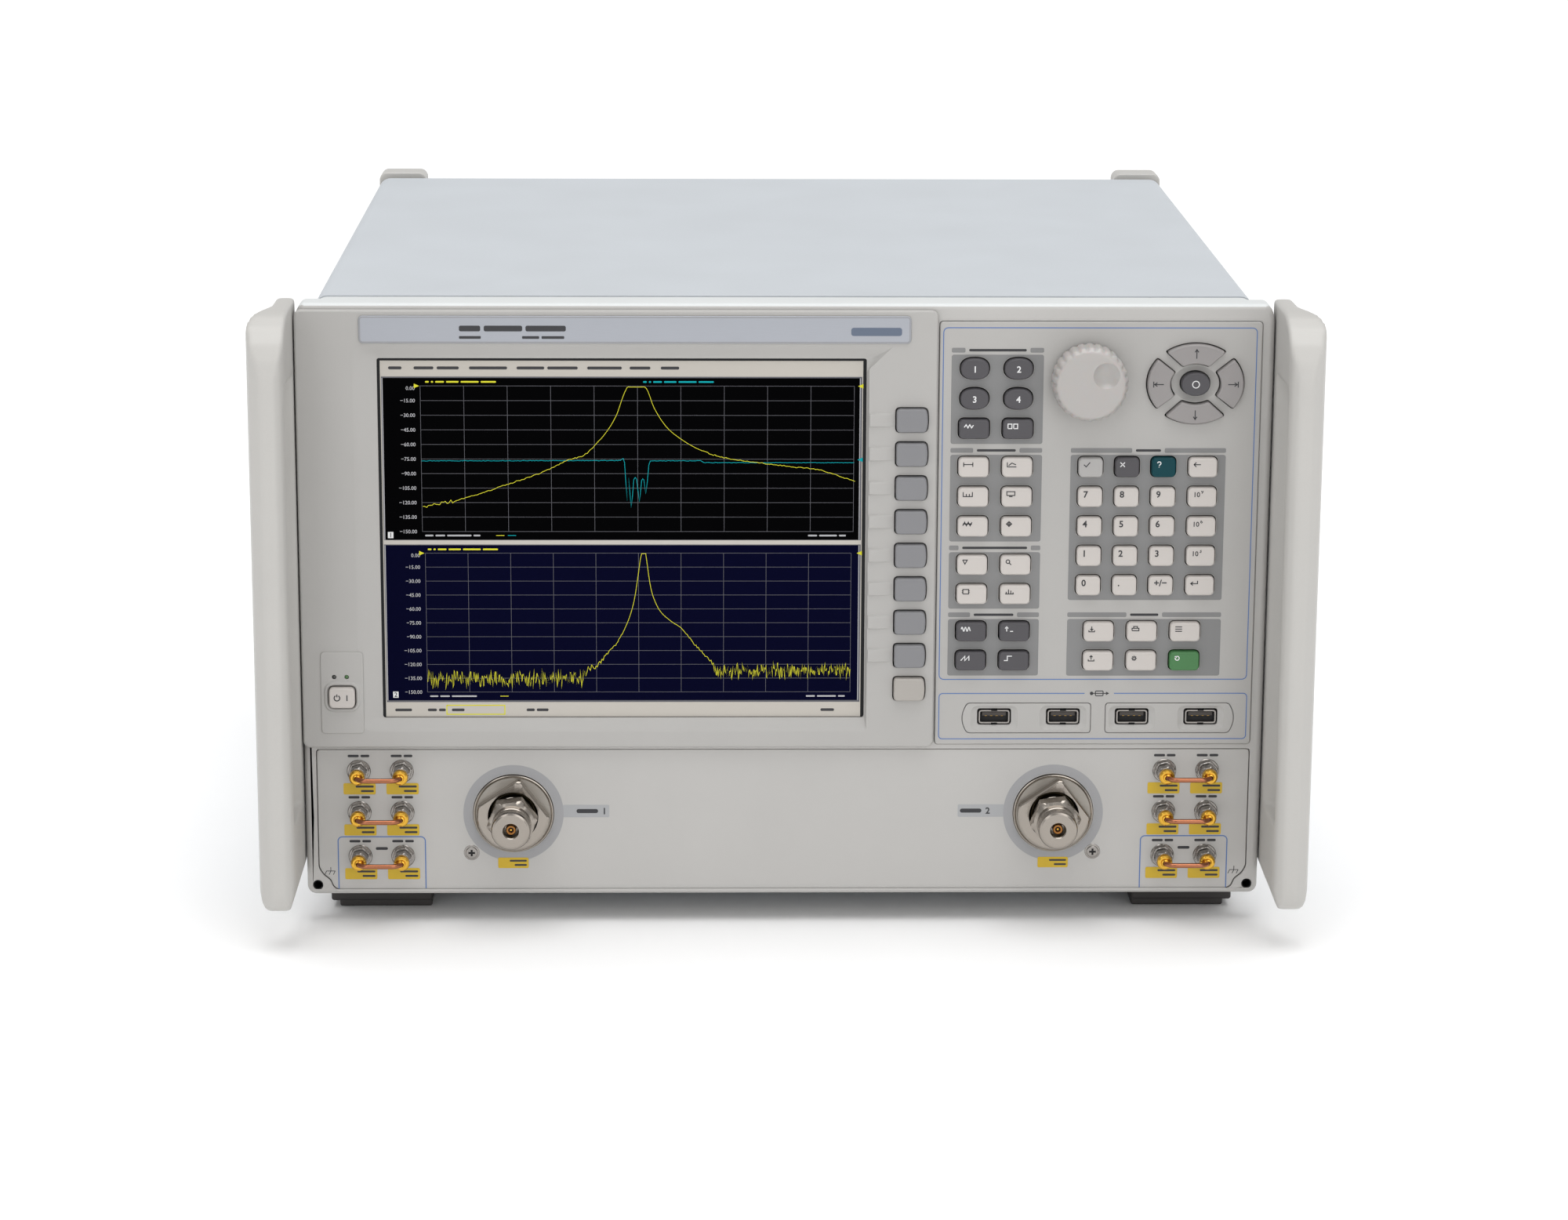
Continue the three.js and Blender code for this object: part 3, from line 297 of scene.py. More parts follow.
class Shape:
    """Points in panel millimetres and faces, each with the number of its look."""

    def __init__(self):
        self.points, self.faces, self.looks = [], [], []

    def add(self, points, faces, look=0):
        base = len(self.points)
        self.points += [tuple(p) for p in points]
        self.faces += [tuple(base + i for i in face) for face in faces]
        self.looks += look if isinstance(look, list) else [look] * len(faces)

    def loft(self, rings, look=0, ends=True, loop=False):
        """A skin through rings of equal length, closed at its ends or run round as a loop."""
        n = len(rings[0])
        faces = []
        for k in range(len(rings) if loop else len(rings) - 1):
            a, b = k * n, ((k + 1) % len(rings)) * n
            faces += [(a + i, a + (i + 1) % n, b + (i + 1) % n, b + i) for i in range(n)]
        if ends and not loop:
            faces += [tuple(range(n)), tuple(range((len(rings) - 1) * n, len(rings) * n))]
        self.add([p for ring in rings for p in ring], faces, look)

    def cap(self, loops, y, look=0):
        """A flat face with holes."""
        rims, base = [], 0
        for loop in loops:
            rims += [(base + i, base + (i + 1) % len(loop)) for i in range(len(loop))]
            base += len(loop)
        corners = [Vector(p) for loop in loops for p in loop]
        points, _, triangles, *_ = delaunay_2d_cdt(corners, rims, [], TRIANGLES_INSIDE, 1e-6)
        if len(loops) > 1:
            middles = [sum((points[i] for i in triangle), Vector((0, 0))) / 3 for triangle in triangles]
            triangles = [t for t, m in zip(triangles,
                                           middles) if sum(encloses(loop, m) for loop in loops) % 2]
        self.add([(x, y, z) for x, z in points], triangles, look)

    def slab(self, outline, y0, y1, holes=(), edge=0.3, back=0.0, hole_edge=0.15, steps=4, look=0):
        """A plate from y0 to y1 with rounded edges at its front, at its back and round its holes."""

        def wall(points, front_r, back_r, sign):
            turns = [math.pi / 2 * k / steps for k in range(steps + 1)]
            rings = [(inset(points, sign * front_r * (1 - math.sin(a))), y0 + front_r * (1 - math.cos(a)))
                     for a in turns]
            rings += [(inset(points, sign * back_r * (1 - math.sin(a))), y1 - back_r * (1 - math.cos(a)))
                      for a in (reversed(turns) if back_r else [math.pi / 2])]
            self.loft([at(*ring) for ring in rings], look, ends=False)
            return rings[0][0], rings[-1][0]

        walls = [wall(outline, edge, back, 1)] + [wall(hole, hole_edge, 0.0, -1) for hole in holes]
        self.cap([front for front, _ in walls], y0, look)
        self.cap([rear for _, rear in walls], y1, look)

    def ink(self, outline, y, holes=(), look=0):
        """A printed area on a face at y."""
        loops = [outline, *holes]
        self.cap(loops, y - INK, look)
        self.cap(loops, y, look)
        for loop in loops:
            self.loft([at(loop, y - INK), at(loop, y)], look, ends=False)

    def stroke(self, path, width, y, look=0, loop=False):
        """A flat stroke of even width along a path."""
        points = [Vector(p) for p in path]
        rings = []
        for i, point in enumerate(points):
            arms = []
            if i or loop:
                arms.append((point - points[i - 1]).normalized())
            if i < len(points) - 1 or loop:
                arms.append((points[(i + 1) % len(points)] - point).normalized())
            normals = [Vector((-arm.y, arm.x)) for arm in arms]
            mitre = sum(normals, Vector((0, 0)))
            half = mitre * (width / 2 / max(mitre.dot(normals[0]), 0.35))
            left, right = point + half, point - half
            rings.append([(p.x, depth, p.y) for p,
                          depth in ((left, y - INK), (right, y - INK), (right, y), (left, y))])
        self.loft(rings, look, loop=loop)

    def turned(self, x, z, profile, sides=40, look=0, wave=None):
        """A body turned round an axis along y. The profile lists (radius, y). wave scales the radius."""
        rings = []
        for r, y in profile:
            ring = []
            for i in range(sides):
                angle = 2 * math.pi * i / sides
                reach = r * (wave(angle, y) if wave else 1)
                ring.append((x + reach * math.cos(angle), y, z + reach * math.sin(angle)))
            rings.append(ring)
        self.loft(rings, look, ends=False)

    def tube(self, path, radius, sides=12, look=0, loop=False):
        """A round tube along a path of 3-D points."""
        points = [Vector(p) for p in path]
        count = len(points)
        tangents = []
        for i in range(count):
            before = points[i - 1] if i or loop else points[0]
            after = points[(i + 1) % count] if i < count - 1 or loop else points[-1]
            tangents.append((after - before).normalized())
        side = tangents[0].orthogonal().normalized()
        turns = [2 * math.pi * i / sides for i in range(sides)]
        rings = []
        for point, tangent in zip(points, tangents):
            side = (side - tangent * side.dot(tangent)).normalized()
            up = tangent.cross(side)
            rings.append([tuple(point + (side * math.cos(a) + up * math.sin(a)) * radius) for a in turns])
        self.loft(rings, look, loop=loop)

    def figures(self, text, x, z, height, y, look=0, weight=0.0, align="CENTER"):
        """Numbers printed on a face at y, centred on z."""
        curve = bpy.data.curves.new("figures", "FONT")
        curve.body, curve.align_x, curve.offset = text, align, weight
        curve.size = height / 0.69  # a digit is 0.69 of the type's size
        curve.resolution_u = 3
        curve.extrude = INK / 2
        holder = bpy.data.objects.new("figures", curve)
        mesh = bpy.data.meshes.new_from_object(holder)
        points = [(x + v.co.x, y - INK / 2 - v.co.z, z - height / 2 + v.co.y) for v in mesh.vertices]
        self.add(points, [tuple(p.vertices) for p in mesh.polygons], look)
        bpy.data.objects.remove(holder)
        bpy.data.curves.remove(curve)
        bpy.data.meshes.remove(mesh)


def finish_mesh(mesh, crease):
    """Joins doubled points, turns every face outward and shades the mesh smooth up to the crease angle."""
    solid = bmesh.new()
    solid.from_mesh(mesh)
    bmesh.ops.remove_doubles(solid, verts=solid.verts, dist=WELD_REACH * MM)
    bmesh.ops.recalc_face_normals(solid, faces=solid.faces)
    solid.to_mesh(mesh)
    solid.free()
    mesh.shade_smooth()
    mesh.set_sharp_from_angle(angle=math.radians(crease))


def piece(name, shape, body, looks, stands_for=None, crease=35, flat=False):
    """A visible piece that rides on a body and may stand for a CAD node. A flat one is a print."""
    mesh = bpy.data.meshes.new(name)
    mesh.from_pydata([ORIGIN + Vector(p) * MM for p in shape.points], [], shape.faces)
    for look in looks.split():
        mesh.materials.append(LOOKS[look])
    mesh.polygons.foreach_set("material_index", shape.looks)
    finish_mesh(mesh, crease)
    made = place(name, mesh)
    if not flat:
        made.modifiers.new("even_normals", "WEIGHTED_NORMAL").keep_sharp = True
    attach(made, body)
    if stands_for:
        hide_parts(stands_for)


# ---------------------------------------------------------------- key layout, as in the CAD

ROW_PITCH = 13.25
FUNCTION_X, NUMBER_X = (82.1, 101.15), (133.3, 149.25, 165.2)
UNIT_X, UTILITY_X = (182.4,), (138.4, 157.45, 176.5)
# key sizes: width, height, corner radius
FUNCTION_KEY, NUMBER_KEY, WIDE_KEY = (13.2, 8.6, 1.9), (10.6, 8.6, 1.9), (12.5, 8.6, 1.9)
ROUND_KEY, POWER_KEY = (12.4, 9.2, 4.55), (11.4, 9.3, 2)
SOFT_KEY_W, SOFT_KEY_H = 13.9, 10.3
DISH = 0.14  # depth of a pad key's dish
LONE_DISH = 0.1  # and of a soft or cursor key's


def grid(columns, top_z, rows, size):
    return [(x, top_z - row * ROW_PITCH, size) for row in range(rows) for x in columns]


PADS = {
    # pad: keys, legends, painted group x0, x1, z0, z1, width of its title
    "trace_channel_keys": (grid(FUNCTION_X, 239, 2, ROUND_KEY) + grid(FUNCTION_X, 212.5, 1, FUNCTION_KEY),
                           "1 2 3 4 trace channel", (72.0, 112.1, 205.5, 245.0), 25),
    "response_keys": (grid(FUNCTION_X, 195.5, 3, FUNCTION_KEY),
                      "measure format scale display average calibrate",
                      (72.0, 112.1, 161.9, 200.7), 17),
    "marker_keys": (grid(FUNCTION_X, 151.8, 2, FUNCTION_KEY), "marker search memory analysis",
                    (72.0, 112.1, 131.6, 157.1), 28.5),
    "stimulus_keys": (grid(FUNCTION_X, 121.6, 2, FUNCTION_KEY), "frequency power sweep trigger",
                      (72.0, 112.1, 101.2, 126.9), 17.5),
    "entry_keys": (grid(NUMBER_X, 195.5, 5, NUMBER_KEY) + grid(UNIT_X, 195.5, 5, WIDE_KEY),
                   "ok cancel help 7 8 9 4 5 6 1 2 3 0 . +/− back 10^9 10^6 10^3 enter",
                   (124.6, 192.5, 135.5, 200.7), 11),
    "utility_keys": (grid(UTILITY_X, 121.6, 2, FUNCTION_KEY), "save print list recall settings preset",
                     (124.6, 192.5, 101.1, 126.9), 12.5),
}
DARK_PADS = ("trace_channel_keys", "stimulus_keys")
KEY_LOOKS = "key_ivory key_dark key_stone key_teal key_green"
IVORY_LOOK, DARK_LOOK = 0, 1
SPECIAL_LOOKS = {"cancel": 1, "ok": 2, "help": 3, "preset": 4}
WHITE_ON = (1, 3, 4)  # the looks that carry white legends


def ring_icon(x, z, r, start=0, end=360):
    return arc(x, z, r, r, start, end, 14)


def paths(text):
    """Strokes written as their corners x,z with a slash between strokes."""
    strokes = (stroke.split() for stroke in text.split("/"))
    return [[tuple(float(n) for n in corner.split(",")) for corner in stroke] for stroke in strokes]


ICON_UNIT = 0.5
ICON_WIDTH = 0.42
ICONS = {word: paths(text) for word, text in {
    "trace": "0,1 1.6,3.4 3.2,0.6 4.8,3.4 6.4,0.6 8,3",
    "channel": "0,0 3.4,0 3.4,4 0,4 0,0 / 5,0 8.4,0 8.4,4 5,4 5,0",
    "measure": "0,0 0,4 / 0,2 8,2 / 8,0 8,4",
    "format": "0,4 0,0 8,0 / 1.2,1.2 4,3.4 7.6,1.8",
    "scale": "0,4 0,0 8,0 8,4 / 2.7,0 2.7,2.4 / 5.3,0 5.3,2.4",
    "display": "0,1 7,1 7,4.4 0,4.4 0,1 / 2,0 5,0",
    "average": "0,0.4 1.6,3.6 3.2,0.4 4.8,3.6 6.4,0.4 8,3.6 / 0,2 8,2",
    "marker": "0.4,4 4.4,4 2.4,0.4 0.4,4",
    "memory": "1,0 6,0 6,4 1,4 1,0 / 0,1.2 1,1.2 / 0,2.8 1,2.8 / 6,1.2 7,1.2 / 6,2.8 7,2.8",
    "analysis": "0,0 7.6,0 / 1,0 1,2 / 3,0 3,4 / 5,0 5,3 / 7,0 7,1.4",
    "power": "2,0 2,4 / 0.6,2.6 2,4.2 3.4,2.6 / 5,0 7.6,0",
    "sweep": "0,0 3.6,4 3.6,0 7.2,4 7.2,0",
    "trigger": "0,0 3,0 3,4 7,4",
    "ok": "0,2 2,0 5.4,4",
    "cancel": "0,0 4,4 / 0,4 4,0",
    "back": "2,4 0,2 2,0 / 0,2 6,2",
    "enter": "2,3 0,1.4 2,-0.2 / 0,1.4 6,1.4 6,4",
    "save": "0,1 0,-0.4 5,-0.4 5,1 / 2.5,4.4 2.5,1 / 1.2,2.2 2.5,0.8 3.8,2.2",
    "print": "0,0.6 6,0.6 6,2.8 0,2.8 0,0.6 / 1.4,2.8 1.4,4.4 4.6,4.4 4.6,2.8",
    "list": "0,4 6,4 / 0,2 6,2 / 0,0 6,0",
    "recall": "0,1 0,-0.4 5,-0.4 5,1 / 2.5,0.8 2.5,4.2 / 1.2,3 2.5,4.4 3.8,3",
}.items()}
ICONS |= {
    "calibrate": [ring_icon(2.4, 2, 1.7), *paths("-0.4,2 5.2,2 / 2.4,-0.6 2.4,4.6")],
    "search": [ring_icon(2, 2.6, 1.6), *paths("3.2,1.4 5,-0.4")],
    "frequency": [[(i * 0.5, 2 + 1.9 * math.sin(i * 1.05)) for i in range(17)]],
    "help": [[*arc(2, 3.1, 1.5, 1.4, 170, -70, 9), (2, 1)], *paths("2,0.1 2,-0.5")],
    "settings": [ring_icon(2.4, 2, 1.2),
                 *[list(ray) for ray in zip(*(arc(2.4, 2, r, r, 0, 315, 7) for r in (1.6, 2.4)))]],
    "preset": [ring_icon(2.4, 2, 1.8, 120, -190), *paths("0.2,3.4 1.5,3.6 1.7,2.2")],
}


def oval(x, z, a, b, power=2.35, count=48):
    """An ellipse with slightly fuller corners."""
    turns = [2 * math.pi * i / count for i in range(count)]
    return [(x + a * math.copysign(abs(c) ** (2 / power), c),
             z + b * math.copysign(abs(s) ** (2 / power), s))
            for c, s in ((math.cos(turn), math.sin(turn)) for turn in turns)]


def key_outline(key, grow=0.0):
    """The outline of a key, or of one that is larger all round by grow."""
    x, z, (w, h, r) = key
    if r == ROUND_KEY[2]:
        return oval(x, z, w / 2 + grow, h / 2 + grow)
    return around(x, z, w + 2 * grow, h + 2 * grow, r + grow)


def key_cap(shape, outline_of, face_y, back_y, look=0, dish=DISH):
    """A key with a soft edge and a shallow flat dish in its face. outline_of(grow) gives its outline."""
    edge, draft = 0.7, -0.06
    rings = [(0, back_y), (0, face_y + 1.3), (draft, face_y + 0.8)]
    for angle in (20, 45, 70, 90):
        a = math.radians(angle)
        rings.append((draft - edge * (1 - math.cos(a)), face_y + edge * (1 - math.sin(a))))
    rings += [(-1.05, face_y + 0.02), (-1.5, face_y + dish)]
    shape.loft([at(outline_of(grow), y) for grow, y in rings], look)


def legend(shape, word, key, face_y, look):
    """A legend near the upper left of a key: digits or a small drawn sign."""
    x, z, (w, h, r) = key
    left, top = x - w / 2 + 2.2, z + h / 2 - 1.7
    if word in ICONS:
        for path in ICONS[word]:
            points = [(left + px * ICON_UNIT, top - 2.2 + pz * ICON_UNIT) for px, pz in path]
            shape.stroke(points, ICON_WIDTH, face_y, look)
    elif word.startswith("10^"):
        shape.figures("10", left, top - 1.3, 2.1, face_y, look, 0.06, "LEFT")
        shape.figures(word[3:], left + 3.4, top - 0.1, 1.5, face_y, look, 0.05, "LEFT")
    elif r == ROUND_KEY[2]:
        shape.figures(word, x, z, 2.7, face_y, look, 0.08)
    else:
        shape.figures(word, left, top - 1.2, 2.75, face_y, look, 0.1, "LEFT")


def key_pads():
    for pad, (keys, words, _, _) in PADS.items():
        face_y, back_y = span(pad)[2:4]
        caps, prints = Shape(), Shape()
        for key, word in zip(keys, words.split()):
            look = SPECIAL_LOOKS.get(word, DARK_LOOK if pad in DARK_PADS else IVORY_LOOK)
            key_cap(caps, lambda grow, key=key: key_outline(key, grow), face_y, back_y, look)
            legend(prints, word, key, face_y + DISH, 0 if look in WHITE_ON else 1)
        piece(f"{pad}_caps", caps, pad, KEY_LOOKS, pad)
        piece(f"{pad}_legends", prints, pad, "white_ink dark_ink", flat=True)


# ---------------------------------------------------------------- single keys


def lone_key(node, outline_of, look, signs=(), width=ICON_WIDTH, dish=LONE_DISH, ink="dark_ink",
             word="sign", crease=35, loop=False):
    """A key that moves on its own, and the signs printed on it."""
    y0, y1 = span(node)[2:4]
    cap, prints = Shape(), Shape()
    key_cap(cap, outline_of, y0, y1, dish=dish)
    piece(f"{node}_cap", cap, node, look, node, crease)
    for path in signs:
        prints.stroke(path, width, y0 + dish, loop=loop)
    if signs:
        piece(f"{node}_{word}", prints, node, ink, flat=True)


def soft_key_outline(x, z, grow=0.0):
    """A soft key's outline. Its right side is bowed."""
    half_w, half_h, bow = SOFT_KEY_W / 2 + grow, SOFT_KEY_H / 2 + grow, 0.8
    r, wide = 1.8 + 0.5 * grow, 3.0 + 0.8 * grow
    return rounded([(x + half_w - bow, z + half_h, r), (x - half_w, z + half_h, r),
                    (x - half_w, z - half_h, r),
                    (x + half_w - bow, z - half_h, r), (x + half_w, z, wide)])


def soft_keys():
    for number in range(1, 10):
        name = f"soft_key_{number}"
        # the ninth soft key is ivory, darkened evenly: painted shade
        look, slot = ("key_ivory_shaded", "key_ivory") if number == 9 else ("key_silver", "key_silver")
        lone_key(name, lambda grow, middle=centre(name): soft_key_outline(*middle, grow), look)


def power_button():
    x, z = centre("power_button")
    signs = [ring_icon(-2.1, 0, 1.25, 120, 420), *paths("-2.1,0.4 -2.1,1.7 / 2.3,-1.3 2.3,1.3")]
    lone_key("power_button", lambda grow: key_outline((x, z, POWER_KEY), grow), "key_ivory",
             [[(x + px, z + pz) for px, pz in path] for path in signs], 0.5, DISH, word="signs")


CURSOR_CENTRE = centre("cursor_click")
CURSOR_OUTER, CURSOR_INNER = (21, 17.6), (11, 8.9)
CURSOR_SPANS = {  # direction, half its outer angle, half its inner angle
    "cursor_up": (90, 37.5, 31),
    "cursor_left": (180, 38, 35),
    "cursor_down": (270, 37.5, 31),
    "cursor_right": (0, 38, 35),
}


def cursor_outline(name, grow=0.0):
    """A sector of an oval ring with rounded corners."""
    middle, *halves = CURSOR_SPANS[name]
    outer_half, inner_half = (half + grow * 3 for half in halves)
    outer, inner = [r + grow for r in CURSOR_OUTER], [r - grow for r in CURSOR_INNER]
    outer_arc = arc(*CURSOR_CENTRE, *outer, middle - outer_half + 3, middle + outer_half - 3, 14)
    inner_arc = arc(*CURSOR_CENTRE, *inner, middle + inner_half - 5, middle - inner_half + 5, 10)
    corners = [Vector(arc(*CURSOR_CENTRE, *radii, middle + turn, middle, 1)[0])
               for radii, turn in ((outer, outer_half), (inner, inner_half), (inner, -inner_half),
                                   (outer, -outer_half))]
    turns = (0.25, 0.5, 0.75, 1.0)
    near, far, near_2, far_2 = (corners[a].lerp(corners[b], t)
                                for a, b, t in ((0, 1, 0.12), (0, 1, 0.9), (3, 2, 0.12), (3, 2, 0.9)))
    return [*outer_arc, *bend(outer_arc[-1], corners[0], near, turns), tuple(far),
            *bend(far, corners[1], inner_arc[0], turns), *inner_arc[1:],
            *bend(inner_arc[-1], corners[2], far_2, turns), tuple(near_2),
            *bend(near_2, corners[3], outer_arc[0], turns)[:-1]]


def cursor_keys():
    x, z = CURSOR_CENTRE
    for name, (middle, _, _) in CURSOR_SPANS.items():
        a = math.radians(middle)
        out = Vector((math.cos(a), math.sin(a)))
        side = Vector((-out.y, out.x))
        level = middle % 180 == 0
        here = Vector((x, z)) + out * (15.9 if level else 13.3)
        signs = [[here - out * 1.9, here + out * 1.9],
                 [here + side * 0.8 + out * 0.9, here + out * 2.1, here - side * 0.8 + out * 0.9]]
        if level:
            signs.append([here + out * 2.5 + side * 1.3, here + out * 2.5 - side * 1.3])
        lone_key(name, lambda grow, name=name: cursor_outline(name, grow), "key_cursor",
                 signs, crease=50)
    lone_key("cursor_click", lambda grow: oval(x, z, 6.3 + grow, 5.2 + grow, 2.1), "key_dark",
             [ring_icon(x, z, 1.5)[:-1]], 0.4, ink="white_ink", loop=True)


def knob():
    """The dial: a fluted skirt round a smooth face with a finger dimple."""
    x, z = centre("knob")
    x0, x1, y0, y1, _, _ = span("knob")
    radius = (x1 - x0) / 2
    skirt_back = -2.4
    flutes, flute_depth = 26, 0.036
    sides = flutes * 8
    bowl_x, bowl_z, bowl_r, bowl_depth, bowl_sides = x + 6.5, z + 4.2, 5.8, 2.9, 72

    def flute(angle, y):
        hollow = 0.5 + 0.5 * math.cos(flutes * angle)
        return 1 - flute_depth * min(1.0, max(0.0, (y - y0 - 0.3) / 1.2)) * hollow**2.2

    body = Shape()
    skirt = [(0, skirt_back), (radius - 0.4, skirt_back), (radius, skirt_back - 0.5)]
    skirt += [(radius - less, y0 + rise) for less, rise in (
        (0, 3.4), (0.15, 2.6), (0.6, 1.7), (1.1, 1.1), (1.5, 0.5), (2.1, 0.12), (2.8, 0))]
    body.turned(x, z, skirt, sides, wave=flute)
    body.cap([circle(x, z, radius - 2.8, sides), circle(bowl_x, bowl_z, bowl_r, bowl_sides)], y0)
    steps = (1, 0.97, 0.9, 0.8, 0.68, 0.54, 0.38, 0.2, 0.08, 0)
    bowl = [(bowl_r * t, y0 + bowl_depth * (1 - t**2)) for t in steps]
    body.turned(bowl_x, bowl_z, bowl, bowl_sides)
    body.turned(x, z, [(3, skirt_back - 0.1), (3, y1), (0, y1)], 24, look=1)
    piece("knob_dial", body, "knob", "knob_plastic chassis_steel", "knob", crease=60)


# ---------------------------------------------------------------- front frame and display

KEYPAD = span("keypad_panel")
LINK_ROWS = [centre(f"link_right_{row}")[1] for row in (1, 2, 3)]
LINK_XS = (169.5, 188.55)
PORTS = {1: centre("port_1_body"), 2: centre("port_2_body")}
GROUND_SOCKETS = [(side * 207.7, 4.5) for side in (-1, 1)]


def port_plate_outline(grow=0.0):
    """The test port panel's outline. Its lower corners step in round the ground sockets."""
    side, low, high = 207 + grow, 2.3 - grow, 67 + grow
    right = [(side - 8.5, low, 1.2), (side - 6.3, low + 1.6, 1.0), (side - 5.2, low + 4.6, 1.2),
             (side - 1.8, low + 7.4, 1.4), (side, low + 10.6, 1.2), (side, high, 1.6)]
    return rounded(right + [(-x, z, r) for x, z, r in reversed(right)], 4)


def front_frame():
    x0, x1, y0, y1, z0, z1 = span("front_frame")
    paint, shadow, black, lit_top = range(4)
    casting = Shape()
    outline = [*arc(x1 - 4.5, z1 - 9, 4.5, 9, 0, 90, 10), *arc(x0 + 4.5, z1 - 9, 4.5, 9, 90, 180, 10),
               *arc(x0 + 4, z0 + 4, 4, 4, 180, 270, 6), *arc(x1 - 4, z0 + 4, 4, 4, 270, 360, 6)]
    keypad_hole = box(KEYPAD[0] - 0.15, KEYPAD[1] + 0.15, KEYPAD[4] - 0.15, KEYPAD[5] + 0.15, 1.6)
    screen_hole = box(-190, 60, 74, 252, 3)
    inside = box(-200, 200, 9, 257)
    grounds = [circle(x, z, 2.3, 24) for x, z in GROUND_SOCKETS]
    holes = [keypad_hole, screen_hole, port_plate_outline(0.3), *grounds]
    casting.slab(outline, y0, 13, holes, edge=2.6, back=0.5, hole_edge=0.4, steps=8)
    casting.slab(inset(outline, 3), 12, 14.5, [inside], edge=0, look=shadow)
    casting.slab(box(-206, 206, z0 + 1, z1 - 1, 6, 8), 13.9, y1, [inside], edge=0.6, back=0.3)
    for i, face in enumerate(casting.faces):  # upward faces along the top get a paler copy of the paint: a painted highlight for the light from above
        corners = [Vector(casting.points[k]) for k in face]
        near_top = min(p.z for p in corners) > z1 - 8
        if casting.looks[i] == paint and near_top and abs(normal(corners).z) > 0.6:
            casting.looks[i] = lit_top
    for x, z in GROUND_SOCKETS:
        casting.turned(x, z, [(2.3, 0.6), (1.9, 0.6), (1.9, 9), (0, 9)], 24, look=black)
    piece("front_frame_casting", casting, "root", "frame_paint shadow_gap black_plastic frame_lip_paint",
          "front_frame")


SCREEN_X0, SCREEN_X1, SCREEN_Z0, SCREEN_Z1 = -177, 35, 82.2, 243
LAMPS = {"lamp_left": (-3.35, "lamp_off"), "lamp_right": (2.15, "lamp_on")}  # offset from the key, look
LAMP_RISE = 9


def display_bezel():
    x0, x1, y0, y1, z0, z1 = span("display_bezel")
    bezel = Shape()
    outer = rounded([(36.2, 239, 0.5), (47, 249.5, 1.5), (-187.5, 249.5, 7), (-187.5, 76.4, 7),
                     (36.2, 76.4, 0.8)])
    inner = rounded([(35.2, 237, 0.5), (35.2, 243.2, 1.2), (-177.2, 243.2, 1.2), (-177.2, 82, 1.2),
                     (35.2, 82, 1.2)])
    power = (*centre("power_button"), POWER_KEY)
    power_hole = key_outline(power, GAP)
    soft = [centre(f"soft_key_{n}") for n in range(1, 10)]
    lamps = [circle(power[0] + dx, power[1] + LAMP_RISE, 1.0, 20) for dx, _ in LAMPS.values()]
    holes = [outer, power_hole, *[soft_key_outline(*key, GAP) for key in soft], *lamps]
    bezel.slab(box(x0, x1, z0, z1, 3, 6), y0, y1, holes, edge=1.0, hole_edge=0.25)
    # a dark sleeve in each soft key's opening: painted shade in the gap
    for key in soft:
        shade_sleeve = soft_key_outline(*key, SHADE_SLEEVE)
        bezel.loft([at(shade_sleeve, y0 + 0.35), at(shade_sleeve, y1)], 2, ends=False)
    frame_outer = inset(outer, -0.25)
    turns = [k / 8 for k in range(9)]
    rings = [at(morph(frame_outer, inner, t), y0 + 2.2 * (t * t * (3 - 2 * t) * 0.75 + t * 0.25) + WELD_GAP)
             for t in turns]
    bezel.loft([*rings, at(inner, 0.2)], ends=False)
    for _, z in soft[:8]:  # a tab leads from the screen to each soft key and fades towards it
        tab = [(-3.2, -0.1), (-2.85, 0.8), (-2.45, 1.0), (2.1, 1.0), (2.6, 0.8), (3.2, -0.1)]
        fade = [(36.6 + 10.6 * t, 1.25 * (1 - t) ** 0.8 + 0.02) for t in turns]
        bezel.loft([[(x, y0 + 0.05 - height * up, z + dz) for dz, up in tab] for x, height in fade])
    bezel.slab(box(-204.2, -185.4, 75.5, 112.6, 1.6), y0 - 0.55, y0 + 0.1, [power_hole, *lamps], edge=0.4,
               hole_edge=0.1)
    rim = ((2.3, 0.5), (2.0, 0.95), (1.5, 1.25), (1.0, 1.2), (0.6, 0.8), (GAP, 0.4))
    bezel.loft([at(key_outline(power, grow), y0 - rise) for grow, rise in rim], ends=False)
    piece("display_bezel_moulding", bezel, "root", "bezel_plastic pale_line shadow_gap",
          "display_bezel", crease=28)
    for name, (dx, look) in LAMPS.items():
        lens = Shape()
        dome = [(0, y0 - 0.25), (0.4, y0 - 0.22), (0.75, y0 - 0.1), (0.9, y0 + 0.2), (0.9, 1.5), (0, 1.5)]
        lens.turned(power[0] + dx, power[1] + LAMP_RISE, dome, 20)
        piece(name, lens, "root", look)


def display():
    y = span("display_module")[2]
    glass = Shape()
    glass.slab(box(SCREEN_X0 - 1.5, SCREEN_X1 + 1.5, SCREEN_Z0 - 1.5, SCREEN_Z1 + 1.5, 1), y, y + 3.6,
               edge=0.1)
    glass.slab(box(SCREEN_X0 - 6, SCREEN_X1 + 5, SCREEN_Z0 - 6, SCREEN_Z1 + 5, 2), y + 3.6, 15, edge=0.3,
               back=0.5, look=1)
    piece("display_glass", glass, "root", "screen_glass chassis_steel", "display_module")
    screen_picture(y)


